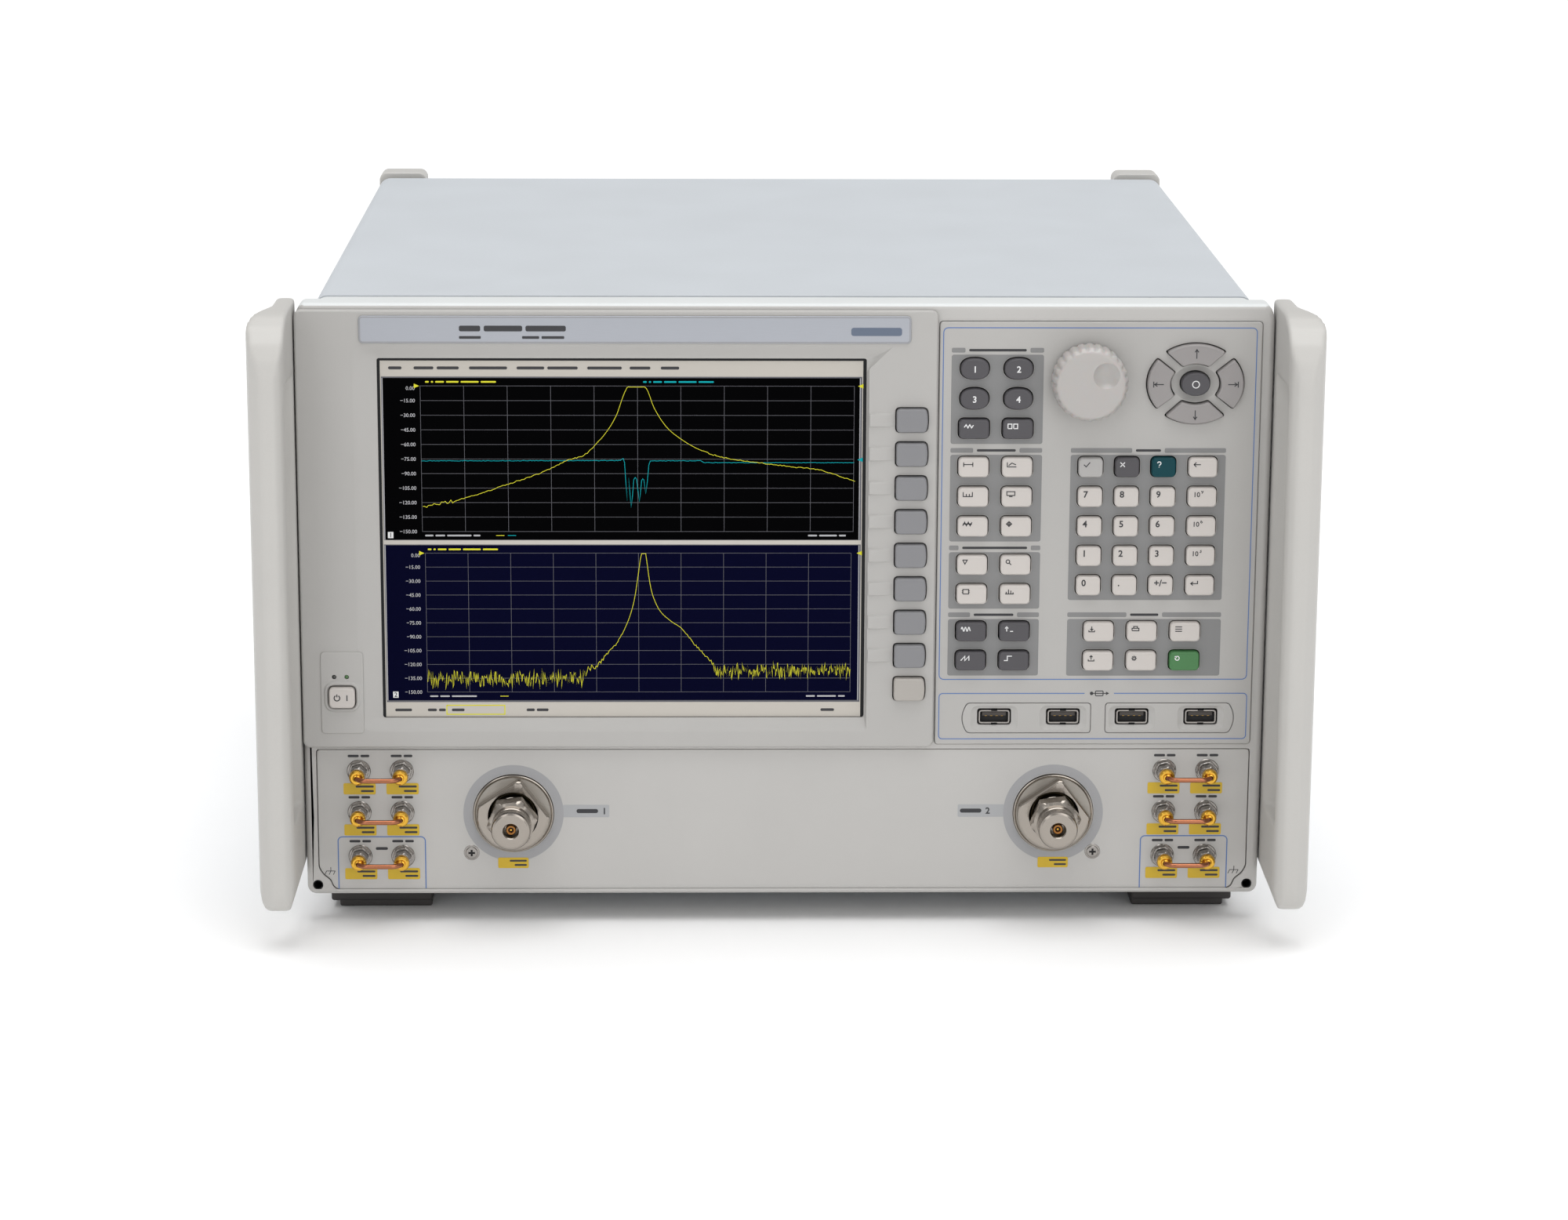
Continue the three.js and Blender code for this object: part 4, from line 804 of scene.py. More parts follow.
def smooth_path(knots, step=1.0):
    """A curve through the knots, which run from left to right, by monotone cubic interpolation."""
    slopes = []
    for i in range(len(knots)):
        (xa, ya), (xb, yb) = knots[max(i - 1, 0)], knots[min(i + 1, len(knots) - 1)]
        slopes.append((yb - ya) / (xb - xa))
    for i in range(1, len(knots) - 1):
        if (knots[i][1] - knots[i - 1][1]) * (knots[i + 1][1] - knots[i][1]) <= 0:
            slopes[i] = 0
    path = []
    for i, ((xa, ya), (xb, yb)) in enumerate(zip(knots, knots[1:])):
        w = xb - xa
        count = max(1, round(w / step))
        for t in (k / count for k in range(count)):
            path.append((xa + w * t, (2 * t**3 - 3 * t**2 + 1) * ya + (t**3 - 2 * t**2 + t) * w * slopes[i]
                         + (3 * t**2 - 2 * t**3) * yb + (t**3 - t**2) * w * slopes[i + 1]))
    return [*path, knots[-1]]


PICTURE_X, PICTURE_Z = -175.9, 241.9  # the picture's upper left corner; s runs right from it and t down
PLOTS = (((0.7, 208.6, 7.6, 79.5), (17.3, 205.8, 11.1, 75.8)),  # each plot's area and grid: s0, s1, t0, t1
         ((0.7, 208.6, 82.0, 152.2), (18.4, 205.0, 85.5, 148.4)))
SCALE_STEP = -15
TRACE_WIDTH, GRID_WIDTH = 0.23, 0.16
UPPER_TRACE = paths("17.7,64.6 34,61.5 52,55.6 70,49.3 81.9,43.6 88,41.8 92.9,37.4 98.4,30.8 102.5,23.7 "
                    "105,16.4 107,11.8 108.2,11.5 114.6,11.5 116,13.2 118.7,20.6 124,29 130.5,34.6 138,39 "
                    "146.8,42.2 157,44 167.4,45.4 180,47 190,48 198,50.4 206.4,53.4")[0]
RETURN_TRACE = paths("17.3,44.3 60,44.2 104,44.1 105.8,45 106.9,62 107.6,51.6 108.6,65.4 109.8,52.6 "
                     "111,52.4 112.2,62.6 113.2,53 114.2,52.8 115,59 116.4,46 117.6,44.2 139,44.2 "
                     "140.5,45 206,45")[0]
LOWER_TRACE = paths("87.8,139.5 92.9,136.2 99,129.8 104,122.8 107.6,114.6 109.9,106.1 111.6,95 112.5,88.4 "
                    "113.1,85.7 114.9,85.7 115.6,91 116.6,98.6 118,104.8 121,111.4 125.4,115.8 131,120 "
                    "139.4,130.5 144.6,136")[0]


def screen_picture(glass_y):
    """The measurement picture: two plots with a filter's response, as thin printed layers on the glass."""
    noise = random.Random(11)
    picture = Shape()
    base, lines, traces, marks = (glass_y - 0.07 * k for k in range(4))
    menu, black, navy, grid_look, figures, yellow, cyan, white, dark = range(9)

    def spot(s, t):
        return PICTURE_X + s, PICTURE_Z - t

    def area(s0, s1, t0, t1, layer, look, r=0.05):
        picture.ink(box(PICTURE_X + s0, PICTURE_X + s1, PICTURE_Z - t1, PICTURE_Z - t0, r, 1), layer,
                    look=look)

    def line(points, width, layer, look):
        picture.stroke([spot(*p) for p in points], width, layer, look)

    def words(s, t, widths, layer, look, high=0.8, gap=0.9):
        """A row of bars where a line of text would be."""
        for w in widths:
            area(s, s + w, t - high / 2, t + high / 2, layer, look, high * 0.3)
            s += w + gap

    area(0, 209.6, 0, 159.7, base, menu)
    area(0.4, 209.2, 7.0, 153.0, lines, grid_look)
    for (plot, (s0, s1, t0, t1)), look in zip(PLOTS, (black, navy)):
        area(*plot, lines - INK, look)
        for i in range(11):
            s, t = s0 + (s1 - s0) * i / 10, t0 + (t1 - t0) * i / 10
            line([(s, t0), (s, t1)], GRID_WIDTH, traces, grid_look)
            line([(s0, t), (s1, t)], GRID_WIDTH, traces - LAYER, grid_look)
            figure = f"{SCALE_STEP * i:.2f}".replace("-", "−")
            picture.figures(figure, *spot(s0 - 2.3, t + (1.0 if i == 0 else 0)), 1.6, traces, figures, 0.01,
                            "RIGHT")
        for s in (0.7, 208.2):
            area(s, s + 0.35, plot[2], plot[3], traces, figures)
    area(0.4, 209.2, 79.7, 81.6, traces, menu)
    for s, widths, gap in ((3.6, (5.8,), 0.9), (14.6, (8.6, 9.6), 1.4), (38.6, (16.5,), 0.9),
                           (59.2, (12, 13.2), 1.3), (89.8, (15,), 0.9), (108.2, (9,), 0.9),
                           (121.7, (8,), 0.9)):
        words(s, 3.2, widths, lines, dark, 1.3, gap)
    for s, widths in ((4, (7.4,)), (18.4, (4, 3)), (29, (5.6,)), (62, (3.6, 5.2)), (192, (6,))):
        words(s, 156.6, widths, lines, dark, 1.2)
    line([(26.8, 154.5), (52.4, 154.5), (52.4, 158.6), (26.8, 158.6), (26.8, 154.4)], 0.45, lines, yellow)
    for s, t, look in ((19.5, 9.3, yellow), (114, 9.3, cyan), (19.5, 83.8, yellow)):
        words(s, t, (1.6, 1.0, 3.8, 5.4, 7.8, 6.6), traces, look, 0.75)
    for s, t, widths in ((18.5, 77.6, (3.6, 4.2, 10.6, 3)), (186, 77.6, (4, 7.8, 3)),
                         (19.5, 150.3, (3.6, 4.2, 11)), (185.5, 150.3, (4, 8.4, 3))):
        words(s, t, widths, traces, figures, 0.7)
    for s, t, look in ((49.5, 77.6, yellow), (54.6, 77.6, cyan), (50.5, 150.3, yellow)):
        area(s, s + 3.6, t - 0.15, t + 0.15, traces, look)
    upper = [(s, t + noise.uniform(-0.5, 0.5) * (1.6 if s < 31 else 0.5 if s < 95 or s > 140 else 0.05))
             for s, t in smooth_path(UPPER_TRACE, 0.8)]
    line(upper, TRACE_WIDTH, marks, yellow)
    returned = [(s, t + noise.uniform(-0.12, 0.12)) for s, t in smooth_path(RETURN_TRACE, 0.6)]
    line(returned, TRACE_WIDTH, marks + 0.06, cyan)
    floors = ((18.6, 142.4, 5.4, 363), (144.9, 138.8, 4.8, 317))  # s, t, reach of the noise, points
    floor_left, floor_right = ([(s + 0.19 * i, t + noise.triangular(-reach, reach)) for i in range(count)]
                               for s, t, reach, count in floors)
    peak = [(s, t + noise.uniform(-1, 1) * max(0.0, (t - 112) / 24) ** 2 * 1.6)
            for s, t in smooth_path(LOWER_TRACE, 0.5)]
    line(floor_left + peak + floor_right, TRACE_WIDTH, marks, yellow)
    for s, t, sign, look in ((16.9, 11.1, 1, yellow), (207.4, 11.1, -1, yellow), (207.4, 43.7, -1, cyan),
                             (18.0, 85.5, 1, yellow), (207.4, 85.5, -1, yellow)):
        picture.ink([spot(s, t), spot(s - 2.3 * sign, t - 1.0), spot(s - 2.3 * sign, t + 1.0)], marks,
                    look=look)
    for s, t, digit in ((3.4, 77.4, "1"), (4.4, 149.6, "2")):
        area(s - 1.2, s + 1.2, t - 1.4, t + 1.4, traces, white)
        picture.figures(digit, *spot(s, t), 2, marks, dark, 0.03)
    piece("screen_picture", picture, "root",
          "screen_menu screen_black screen_navy screen_grid screen_figures "
          "screen_yellow screen_cyan white_ink dark_ink", flat=True)


# ---------------------------------------------------------------- keypad panel and nameplate

USB_TRAYS = ((77.3, 136.3, -1), (141.9, 200.9, 1))  # x0, x1, side that is bowed
USB_XS = [93.1 + 30.55 * i for i in range(4)]
USB_Z = 82.2
USB_HALF_W, USB_HALF_H = 6.9, 3.1


def tray_outline(x0, x1, side, grow=0.0):
    """A tray round two sockets. Its outer end is a shallow arc."""
    z0, z1 = 74.5 - grow, 89.0 + grow
    x0, x1, r, bulge, mid = x0 - grow, x1 + grow, 1.6, 3.2, (z0 + z1) / 2
    if side > 0:
        return rounded([(x1 - bulge, z1, r), (x0, z1, r), (x0, z0, r), (x1 - bulge, z0, r), (x1, mid, 5)])
    return rounded([(x1, z1, r), (x0 + bulge, z1, r), (x0, mid, 5), (x0 + bulge, z0, r), (x1, z0, r)])


def keypad_panel():
    x0, x1, y0, y1, z0, z1 = KEYPAD
    panel = Shape()
    keys = [key for pad in PADS.values() for key in pad[0]]

    def dish(less):
        """The rim of the dish round the middle cursor key, and the ovals inside it."""
        return arc(*CURSOR_CENTRE, 9.9 - 3.15 * less, 7.8 - 2.15 * less, 0, 352.5, 47)

    trays = [tray_outline(*tray, grow=-0.3) for tray in USB_TRAYS]
    holes = [*[key_outline(key, GAP) for key in keys],
             *[cursor_outline(name, GAP) for name in CURSOR_SPANS],
             dish(0), circle(*centre("knob"), 5.6, 32), *trays]
    panel.slab(box(x0, x1, z0, z1, 1.5), y0, y1, holes, edge=0.5, hole_edge=0.2)
    # a dark sleeve in each key's opening: painted shade in the gap
    for key in keys:
        shade_sleeve = key_outline(key, SHADE_SLEEVE)
        panel.loft([at(shade_sleeve, y0 + 0.35), at(shade_sleeve, y1)], 1, ends=False)
    sinks = ((0.0, 0.1), (0.25, 0.5), (0.55, 0.95), (0.85, 1.15), (1.0, 1.2))
    panel.loft([at(inset(dish(0), -0.2), y0 + WELD_GAP), *[at(dish(t), y0 + sink) for t, sink in sinks],
                at(dish(1), 4)], ends=False)
    for tray in USB_TRAYS:
        usb_tray(panel, tray, y0)
    piece("keypad_panel_moulding", panel, "root", "bezel_plastic shadow_gap pale_line",
          "keypad_panel", crease=28)
    keypad_prints(y0)


def usb_tray(shape, tray, y):
    """A tray: a plate with a fine groove round it and a soft dimple round each socket."""
    outline = tray_outline(*tray, grow=-0.55)
    # a grey backing at the floor of the groove round the tray: painted shade
    shape.slab(inset(outline, -0.6), y + 0.8, y + 2.9, [inset(outline, 0.8)], edge=0, hole_edge=0, look=2)
    sockets = [x for x in USB_XS if tray[0] < x < tray[1]]
    dimples = [around(x, USB_Z - 0.4, 20.4, 11.0, 2.6) for x in sockets]
    shape.slab(outline, y - 0.25, y + 2.5, dimples, edge=0.3, hole_edge=0.1)
    for x, dimple in zip(sockets, dimples):
        mouth = around(x, USB_Z, 15.1, 7.5, 1.2)
        rings = [at(inset(dimple, -0.1), y - 0.25 + WELD_GAP)]
        sinks = ((0.0, -0.15), (0.35, 0.25), (0.7, 0.65), (1, 0.8))
        rings += [at(morph(dimple, mouth, t), y + sink) for t, sink in sinks]
        shape.loft([*rings, at(mouth, 2.2)], ends=False)
        shape.loft([at(inset(mouth, 0.02), y) for y in (1.8, 2.0)], 1)


def keypad_prints(y):
    prints = Shape()
    grey, blue, dark = range(3)
    for pad, (keys, _, (x0, x1, z0, z1), title) in PADS.items():
        prints.ink(box(x0, x1, z0, z1, 1.0), y, [key_outline(key, GAP + 0.25) for key in keys])
        low, high = z1 + 0.9, z1 + 3.0
        middle = (x0 + x1) / 2
        for a, b in ((x0, middle - title / 2 - 1.6), (middle + title / 2 + 1.6, x1)):
            prints.ink(box(a, b, low, high, 0.6), y)
        prints.ink(box(middle - title / 2, middle + title / 2, low + 0.5, high - 0.5, 0.5), y, look=dark)
    prints.stroke(box(68.4, 204.6, 99.45, 256.8, 2)[::-1], 0.42, y, blue, loop=True)
    x, top = 139.5, 93.0
    corners = box(68.5, 205, 72.2, top, 1.6)
    prints.stroke([(133, top), *corners[5:], *corners[:5], (146, top)], 0.42, y, blue)
    prints.stroke([(x - 3.2, top), (x + 3.2, top)], 0.4, y, dark)
    prints.stroke(around(x, top, 3.4, 2.2, 0.3, 1), 0.4, y - LAYER, dark, loop=True)
    prints.ink(circle(x - 3.4, top, 0.8, 14), y - 2 * LAYER, look=dark)
    prints.ink([(x + 4.4, top), (x + 3.0, top - 0.8), (x + 3.0, top + 0.8)], y - 2 * LAYER, look=dark)
    piece("keypad_prints", prints, "root", "group_paint blue_ink dark_ink", flat=True)


def nameplate():
    x0, x1, y0, y1, z0, z1 = span("nameplate")
    plate, bars = Shape(), Shape()
    outline = box(x0, x1, z0, z1, 1.8, 6)
    plate.slab(outline, y0 + 0.15, y1, edge=0.3)
    # a grey line round the plate for the shade along its raised rim: painted shade
    plate.stroke(inset(outline, 0.55), 0.4, y0 + 0.16, 1, loop=True)
    piece("nameplate_label", plate, "root", "nameplate_silver pale_line", "nameplate")
    words = ((43.3, 9.2, 5.5, 2.5, 0), (54, 16.6, 5.5, 2.5, 0), (72, 17.4, 5.5, 2.5, 0),
             (43.3, 9.4, 9.4, 1.2, 0), (70.5, 7.4, 9.4, 1.2, 0), (78.9, 9.8, 9.4, 1.2, 0),
             (x1 - x0 - 26, 22, 6.8, 3.6, 1))
    for left, width, drop, height, look in words:
        z = z1 - drop
        bar = box(x0 + left, x0 + left + width, z - height / 2, z + height / 2, height * 0.3)
        bars.ink(bar, y0 + 0.15, look=look)
    piece("nameplate_bars", bars, "root", "dark_ink slate_ink", flat=True)


# ---------------------------------------------------------------- test port panel


def chamfered_hex(shape, x, z, r, y0, y1, look=0, turn=0.0, bevel=0.5, back=0.2, sides=48):
    """A hexagon nut whose front corners are turned off: the meeting of a prism and a cone."""
    rings = []
    for y, shrink in ((y0, bevel * 1.7), (y0 + bevel * 0.5, bevel * 0.85), (y0 + bevel, 0), (y1 - back, 0),
                      (y1, back * 1.5)):
        ring = []
        for i in range(sides):
            a = 2 * math.pi * i / sides + math.radians(turn)
            lean = math.radians(360 * i / sides % 60 - 30)
            reach = min(r * math.cos(math.radians(30)) / math.cos(lean), r - shrink)
            ring.append((x + reach * math.cos(a), y, z + reach * math.sin(a)))
        rings.append(ring)
    shape.loft(rings, look)


def thread(shape, x, z, r, y0, y1, pitch=0.6, sides=28):
    """A threaded barrel, as rings of a zigzag profile."""
    profile = [(0, y0), (r - 0.35, y0)]
    y = y0 + 0.1
    while y + pitch < y1:
        profile += [(r - 0.25, y), (r, y + pitch / 2)]
        y += pitch
    shape.turned(x, z, [*profile, (r - 0.25, y1), (0, y1)], sides)


def cross_screw(shape, x, z, r, y):
    """A low round screw head with a cross recess. It faces the front where y is its front."""
    w, reach = 0.16 * r, 0.55 * r
    arm = [(w, w), (w, reach), (-w, reach)]
    cross = arm + [(-b, a) for a, b in arm] + [(-a, -b) for a, b in arm] + [(b, -a) for a, b in arm]
    shape.slab(circle(x, z, r, 28), y, y + 0.9, [[(x + a, z + b) for a, b in cross]], edge=0.45,
               hole_edge=0)
    shape.loft([at(circle(x, z, r * 0.7, 16), y + 0.6), at(circle(x, z, r * 0.7, 16), y + 0.85)], 1)


PORT_MOUTH = 18.0  # radius


def test_port_panel():
    y0 = max(span("test_port_panel")[2], 0.5)
    sheet, hardware, screws = Shape(), Shape(), Shape()
    mouths = [circle(x, z, PORT_MOUTH, 64) for x, z in PORTS.values()]
    sheet.slab(port_plate_outline(), y0, y0 + 2, mouths, edge=0.35, hole_edge=0.2)
    piece("test_port_plate", sheet, "root", "frame_paint", "test_port_panel")
    washer = [(0, y0 - 0.5), (5.0, y0 - 0.5), (5.3, y0 - 0.2), (5.3, y0 + 0.2), (0, y0 + 0.2)]
    for side in (-1, 1):
        for z in LINK_ROWS:
            for x in (side * reach for reach in LINK_XS):
                hardware.turned(x, z, washer)
                chamfered_hex(hardware, x, z, 4.9, y0 - 2.6, y0 - 0.4, turn=15)
                thread(hardware, x, z, 3.0, y0 - 5, y0 - 2.2)
    piece("bulkhead_connectors", hardware, "root", "nickel")
    for x, z in ((-139.0, 19.4), (138.2, 19.6)):
        screws.turned(x, z, [(2.5, y0 - 0.3), (3.4, y0 - 0.12), (3.6, y0 + 0.1), (2.5, y0 + 0.1)], 32)
        cross_screw(screws, x, z, 2.7, y0 - 0.75)
    piece("panel_screws", screws, "root", "nickel shadow_gap")
    port_prints(y0)


PORT_WORD_X = {1: 32.8, 2: 36.8}  # from a port's middle to the bar that stands for its word
PORT_DIGIT_X = {1: 40.4, 2: 29.2}
GROUND_SIGN = "0,1.6 0,-0.2 / -2,-0.2 2,-0.2 / -1.9,-0.2 -2.7,-1.9 / 0,-0.2 -0.8,-1.9 / 1.9,-0.2 1.1,-1.9"


def port_prints(y):
    prints = Shape()
    ring, dark, blue, yellow, pale = range(5)

    def label(x, z, w, h):
        """A blank caution-yellow label with two bars where its words would be."""
        prints.ink(around(x, z, w, h, 0.7), y - 0.06, look=yellow)
        for across, up, wide in ((0.16, 0.2, 0.56), (0.24, -0.2, 0.4)):
            prints.ink(around(x + w * across, z + h * up, w * wide, h * 0.18, 0.4), y - 0.12, look=dark)

    for number, (x, z) in PORTS.items():
        side = -1 if x < 0 else 1
        prints.ink(circle(x, z, 22.3, 72), y, [circle(x, z, 18.3, 64)], ring)
        strip = sorted((x - side * 22.0, x - side * 42.6))
        prints.ink(box(*strip, z - 1.9, z + 3.9, 0.6), y + 0.01, look=pale)
        prints.ink(around(x - side * PORT_WORD_X[number], z + 1, 9.6, 1.9, 0.9), y - 0.02, look=dark)
        prints.figures(str(number), x - side * PORT_DIGIT_X[number], z + 1, 2.8, y - 0.02, dark, 0.1)
        label(x + side * 0.3, 14.6, 13.6, 4.9)
    for side in (-1, 1):
        for z in LINK_ROWS:
            for x in (side * reach for reach in LINK_XS):
                label(x - 0.2 * side, z - 8.1, 14.3, 5.2)
                for middle, w in ((x - 2.35, 4.9), (x + 2.85, 3.9)):
                    prints.ink(around(middle, z + 7.0, w, 1.15, 0.5), y, look=dark)
        x0, x1 = sorted((side * 159.6, side * 198.4))
        top = 26.8
        corners = [*arc(x1 - 2, top - 2, 2, 2, 0, 90, 6), *arc(x0 + 2, top - 2, 2, 2, 90, 180, 6)]
        prints.stroke([(x1, 2.7), *corners, (x0, 2.7)], 0.5, y, blue)
        prints.ink(around(side * 179, LINK_ROWS[2] + 3.6, 5.4, 1.3, 0.6), y, look=dark)
        for path in paths(GROUND_SIGN):
            prints.stroke([(side * 201.9 + a, 11.1 + b) for a, b in path], 0.3, y, dark)
    piece("test_port_prints", prints, "root", "ring_paint dark_ink blue_ink yellow_label strip_paint",
          flat=True)


BOSS_FLATS = ((124, 12.4), (37, 12.4))  # direction in degrees and distance from the middle


def flatted_circle(x, z, r, shrink=0.0, sides=144):
    """A circle cut by the boss's flats. The flats move in by shrink."""
    outline = []
    for i in range(sides):
        a = 360 * i / sides
        reach = r
        for direction, distance in BOSS_FLATS:
            lean = math.cos(math.radians(a - direction))
            if lean * r > distance - shrink:
                reach = min(reach, (distance - shrink) / lean)
        outline.append((x + reach * math.cos(math.radians(a)), z + reach * math.sin(math.radians(a))))
    return outline


def ports():
    steel, back, bore, bronze, black, gold = range(6)
    boss = ((16.2, 0, 1.0), (16.2, 0, -4.1), (15.9, 0.1, -4.5), (15.3, 0.4, -4.85), (14.9, 0.6, -5.0),
            (11.2, 0, -5.0), (11.0, 0, -4.6), (10.6, 0, -2.0))  # radius, how far the flats move in, depth
    turnings = (  # profile, sides, look
        ([(10.6, -2.0), (9.8, -1.0), (0, -1.0)], 64, bore),
        ([(11.15, -4.7), (10.95, -4.5), (10.55, -2.0), (9.8, -1.1)], 144, bore),
        ([(9.6, -1.2), (9.6, -7.4), (9.1, -8), (5.6, -8), (5.6, -22.4), (0, -22.4)], 48, steel),
        ([(2.3, -22.4), (2.3, -25.5), (2.0, -25.8), (1.25, -25.8), (1.1, -25.5), (1.1, -24.4)], 40, bronze),
        # a black disc round the centre pin stands for the dark hole there: painted shade
        ([(1.1, -24.4), (0, -24.4)], 24, black),
        ([(0.55, -24.4), (0.55, -25.2), (0.4, -25.4), (0, -25.4)], 20, gold),
    )
    for number, (x, z) in PORTS.items():
        body, nut = Shape(), Shape()
        collar = [(0, 3), (16.4, 3), (16.4, -0.1), (17.3, -0.4), (17.75, -0.2), (17.75, 8), (0, 8)]
        body.turned(x, z, collar, 72)
        body.turned(x, z, [(0, -0.6), (16.6, -0.6), (16.6, 0.4), (0, 0.4)], 64, look=back)
        body.loft([at(flatted_circle(x, z, r, shrink), y) for r, shrink, y in boss], ends=False)
        for profile, sides, look in turnings:
            body.turned(x, z, profile, sides, look)
        piece(f"port_{number}_boss", body, "root",
              "port_steel brushed_steel dark_bore bronze black_plastic gold",
              f"port_{number}_body", crease=25)
        front, rear = span(f"port_{number}_nut")[2:4]
        chamfered_hex(nut, x, z, 11.3, -17.4, rear, turn=8, bevel=1.6, back=0.5)
        nose = [(3.2, -18), (3.2, front + 0.6), (3.6, front + 0.1), (4.4, front), (7.4, front),
                (8.2, front + 0.4), (8.65, front + 1.2), (8.65, -22.6), (8.3, -22.2), (8.3, -21.6),
                (8.65, -21.2), (8.65, -17)]
        nut.turned(x, z, nose, 64)
        # the nut's bore takes the darkened olive finish: painted shade
        nut.turned(x, z, [(3.2, front + 1.6), (3.05, front + 1.7), (3.05, -20), (3.2, -20)], 40, look=1)
        piece(f"port_{number}_coupling", nut, f"port_{number}_nut", "port_steel dark_bore",
              f"port_{number}_nut", crease=25)


def links():
    fittings = (  # profile, sides, look: the nut's collar, the gold body and its neck
        ([(0, -8.2), (3.1, -8.2), (3.3, -8.0), (3.3, -7.4), (0, -7.4)], 36, 1),
        ([(1.1, -11.5), (2.6, -11.5), (3.2, -11.1), (3.5, -10.4), (3.5, -8.9), (3.2, -8.3), (1.1, -8.1)],
         36, 2),
        ([(1.1, -12.6), (1.6, -12.4), (1.8, -11.9), (1.8, -11.3), (1.1, -11.3)], 24, 2),
    )
    radius, steps = 4.5, 10
    for word, side in (("left", -1), ("right", 1)):
        for row, z in enumerate(LINK_ROWS, 1):
            name = f"link_{word}_{row}"
            a, b = sorted(side * reach for reach in LINK_XS)
            jumper = Shape()
            for x in (a, b):
                chamfered_hex(jumper, x, z, 4.0, -7.6, -2.7, look=1, turn=15, bevel=0.6)
                for profile, sides, look in fittings:
                    jumper.turned(x, z, profile, sides, look)
            front = span(name)[2] + 1.1
            path = [(a, -9, z), (a, front + radius, z)]
            path += [(a + radius * (1 - math.cos(t)), front + radius * (1 - math.sin(t)), z)
                     for t in (math.pi / 2 * k / steps for k in range(1, steps + 1))]
            path += [(b - (x - a), y, z) for x, y, z in reversed(path)]
            jumper.tube(path, 1.1, 16)
            piece(f"{name}_jumper", jumper, "root", "copper nickel gold", name, crease=30)


def usb_sockets():
    y0, z = span("usb_sockets")[2], USB_Z
    sockets = Shape()
    steel, black, tongue, board, gold = range(5)
    for x in USB_XS:
        quadrants = ((1, 1), (-1, 1), (-1, -1), (1, -1))
        outer = rounded([(x + USB_HALF_W * a, z + USB_HALF_H * b, 1.2) for a, b in quadrants], 2)
        inner = inset(outer, 0.7)
        sockets.slab(outer, y0, 16.5, [inner], edge=0.2, hole_edge=0.2, look=steel)
        # a near black plate deep in the socket: painted shade
        sockets.loft([at(inner, 12), at(inner, 12.4)], black)
        sockets.slab(box(x - 5.4, x + 5.4, z + 0.1, z + 1.9, 0.3), y0 + 1.4, 12.2, edge=0.2, look=tongue)
        for contact in (x - 3.6 + 2.4 * i for i in range(4)):
            sockets.slab(box(contact - 0.5, contact + 0.5, z - 0.05, z + 0.12, 0.04, 1), y0 + 1.8, 12,
                         edge=0, look=gold)
        # near black plates at the shell's notches: painted shade
        for up in (-1, 1):
            sockets.slab(box(x - 1.4, x + 1.4, z + up * USB_HALF_H - 0.5, z + up * USB_HALF_H + 0.5, 0.2),
                         y0 - 0.03, y0 + 1.2, edge=0.1, look=black)
    sockets.slab(box(83.1, 194.8, 75.2, 84.2, 0.5), 16.5, 18.1, edge=0.1, look=board)
    piece("usb_socket_row", sockets, "root", "socket_shell deep_black socket_tongue circuit_board gold",
          "usb_sockets")


# ---------------------------------------------------------------- cabinet


def evaluated(source):
    """An object's mesh with its modifiers applied."""
    bpy.context.view_layer.update()
    return bpy.data.meshes.new_from_object(source.evaluated_get(bpy.context.evaluated_depsgraph_get()))


HANDLE_VOXEL, HANDLE_ROUNDS = 1.2, 7  # size of the remesh in mm and rounds of smoothing after it


def handles():
    """The handles are the CAD shapes with their edges rounded off."""
    for node in ("handle_left", "handle_right"):
        name = f"{node}_grip"
        source = place(name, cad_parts[node].data.copy())
        remesh = source.modifiers.new("remesh", "REMESH")
        remesh.mode = "VOXEL"
        remesh.voxel_size = HANDLE_VOXEL * MM
        smooth = source.modifiers.new("smooth", "SMOOTH")
        smooth.factor = 0.5
        smooth.iterations = HANDLE_ROUNDS
        mesh = evaluated(source)
        bpy.data.objects.remove(source)
        mesh.materials.clear()
        mesh.materials.append(LOOKS["handle_plastic"])
        mesh.polygons.foreach_set("material_index", [0] * len(mesh.polygons))
        mesh.shade_smooth()
        made = place(name, mesh)
        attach(made, "root")
        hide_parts(node)


def cut_away(outer, cutter):
    """Cuts one shape out of another with an exact boolean."""
    parts = []
    for shape in (outer, cutter):
        mesh = bpy.data.meshes.new("part")
        mesh.from_pydata(shape.points, [], shape.faces)
        finish_mesh(mesh, 30)
        parts.append(place("part", mesh))
    boolean = parts[0].modifiers.new("cut", "BOOLEAN")
    boolean.operation = "DIFFERENCE"
    boolean.solver = "EXACT"
    boolean.object = parts[1]
    mesh = evaluated(parts[0])
    result = Shape()
    result.add([v.co for v in mesh.vertices], [p.vertices for p in mesh.polygons])
    for part in parts:
        bpy.data.objects.remove(part)
    return result


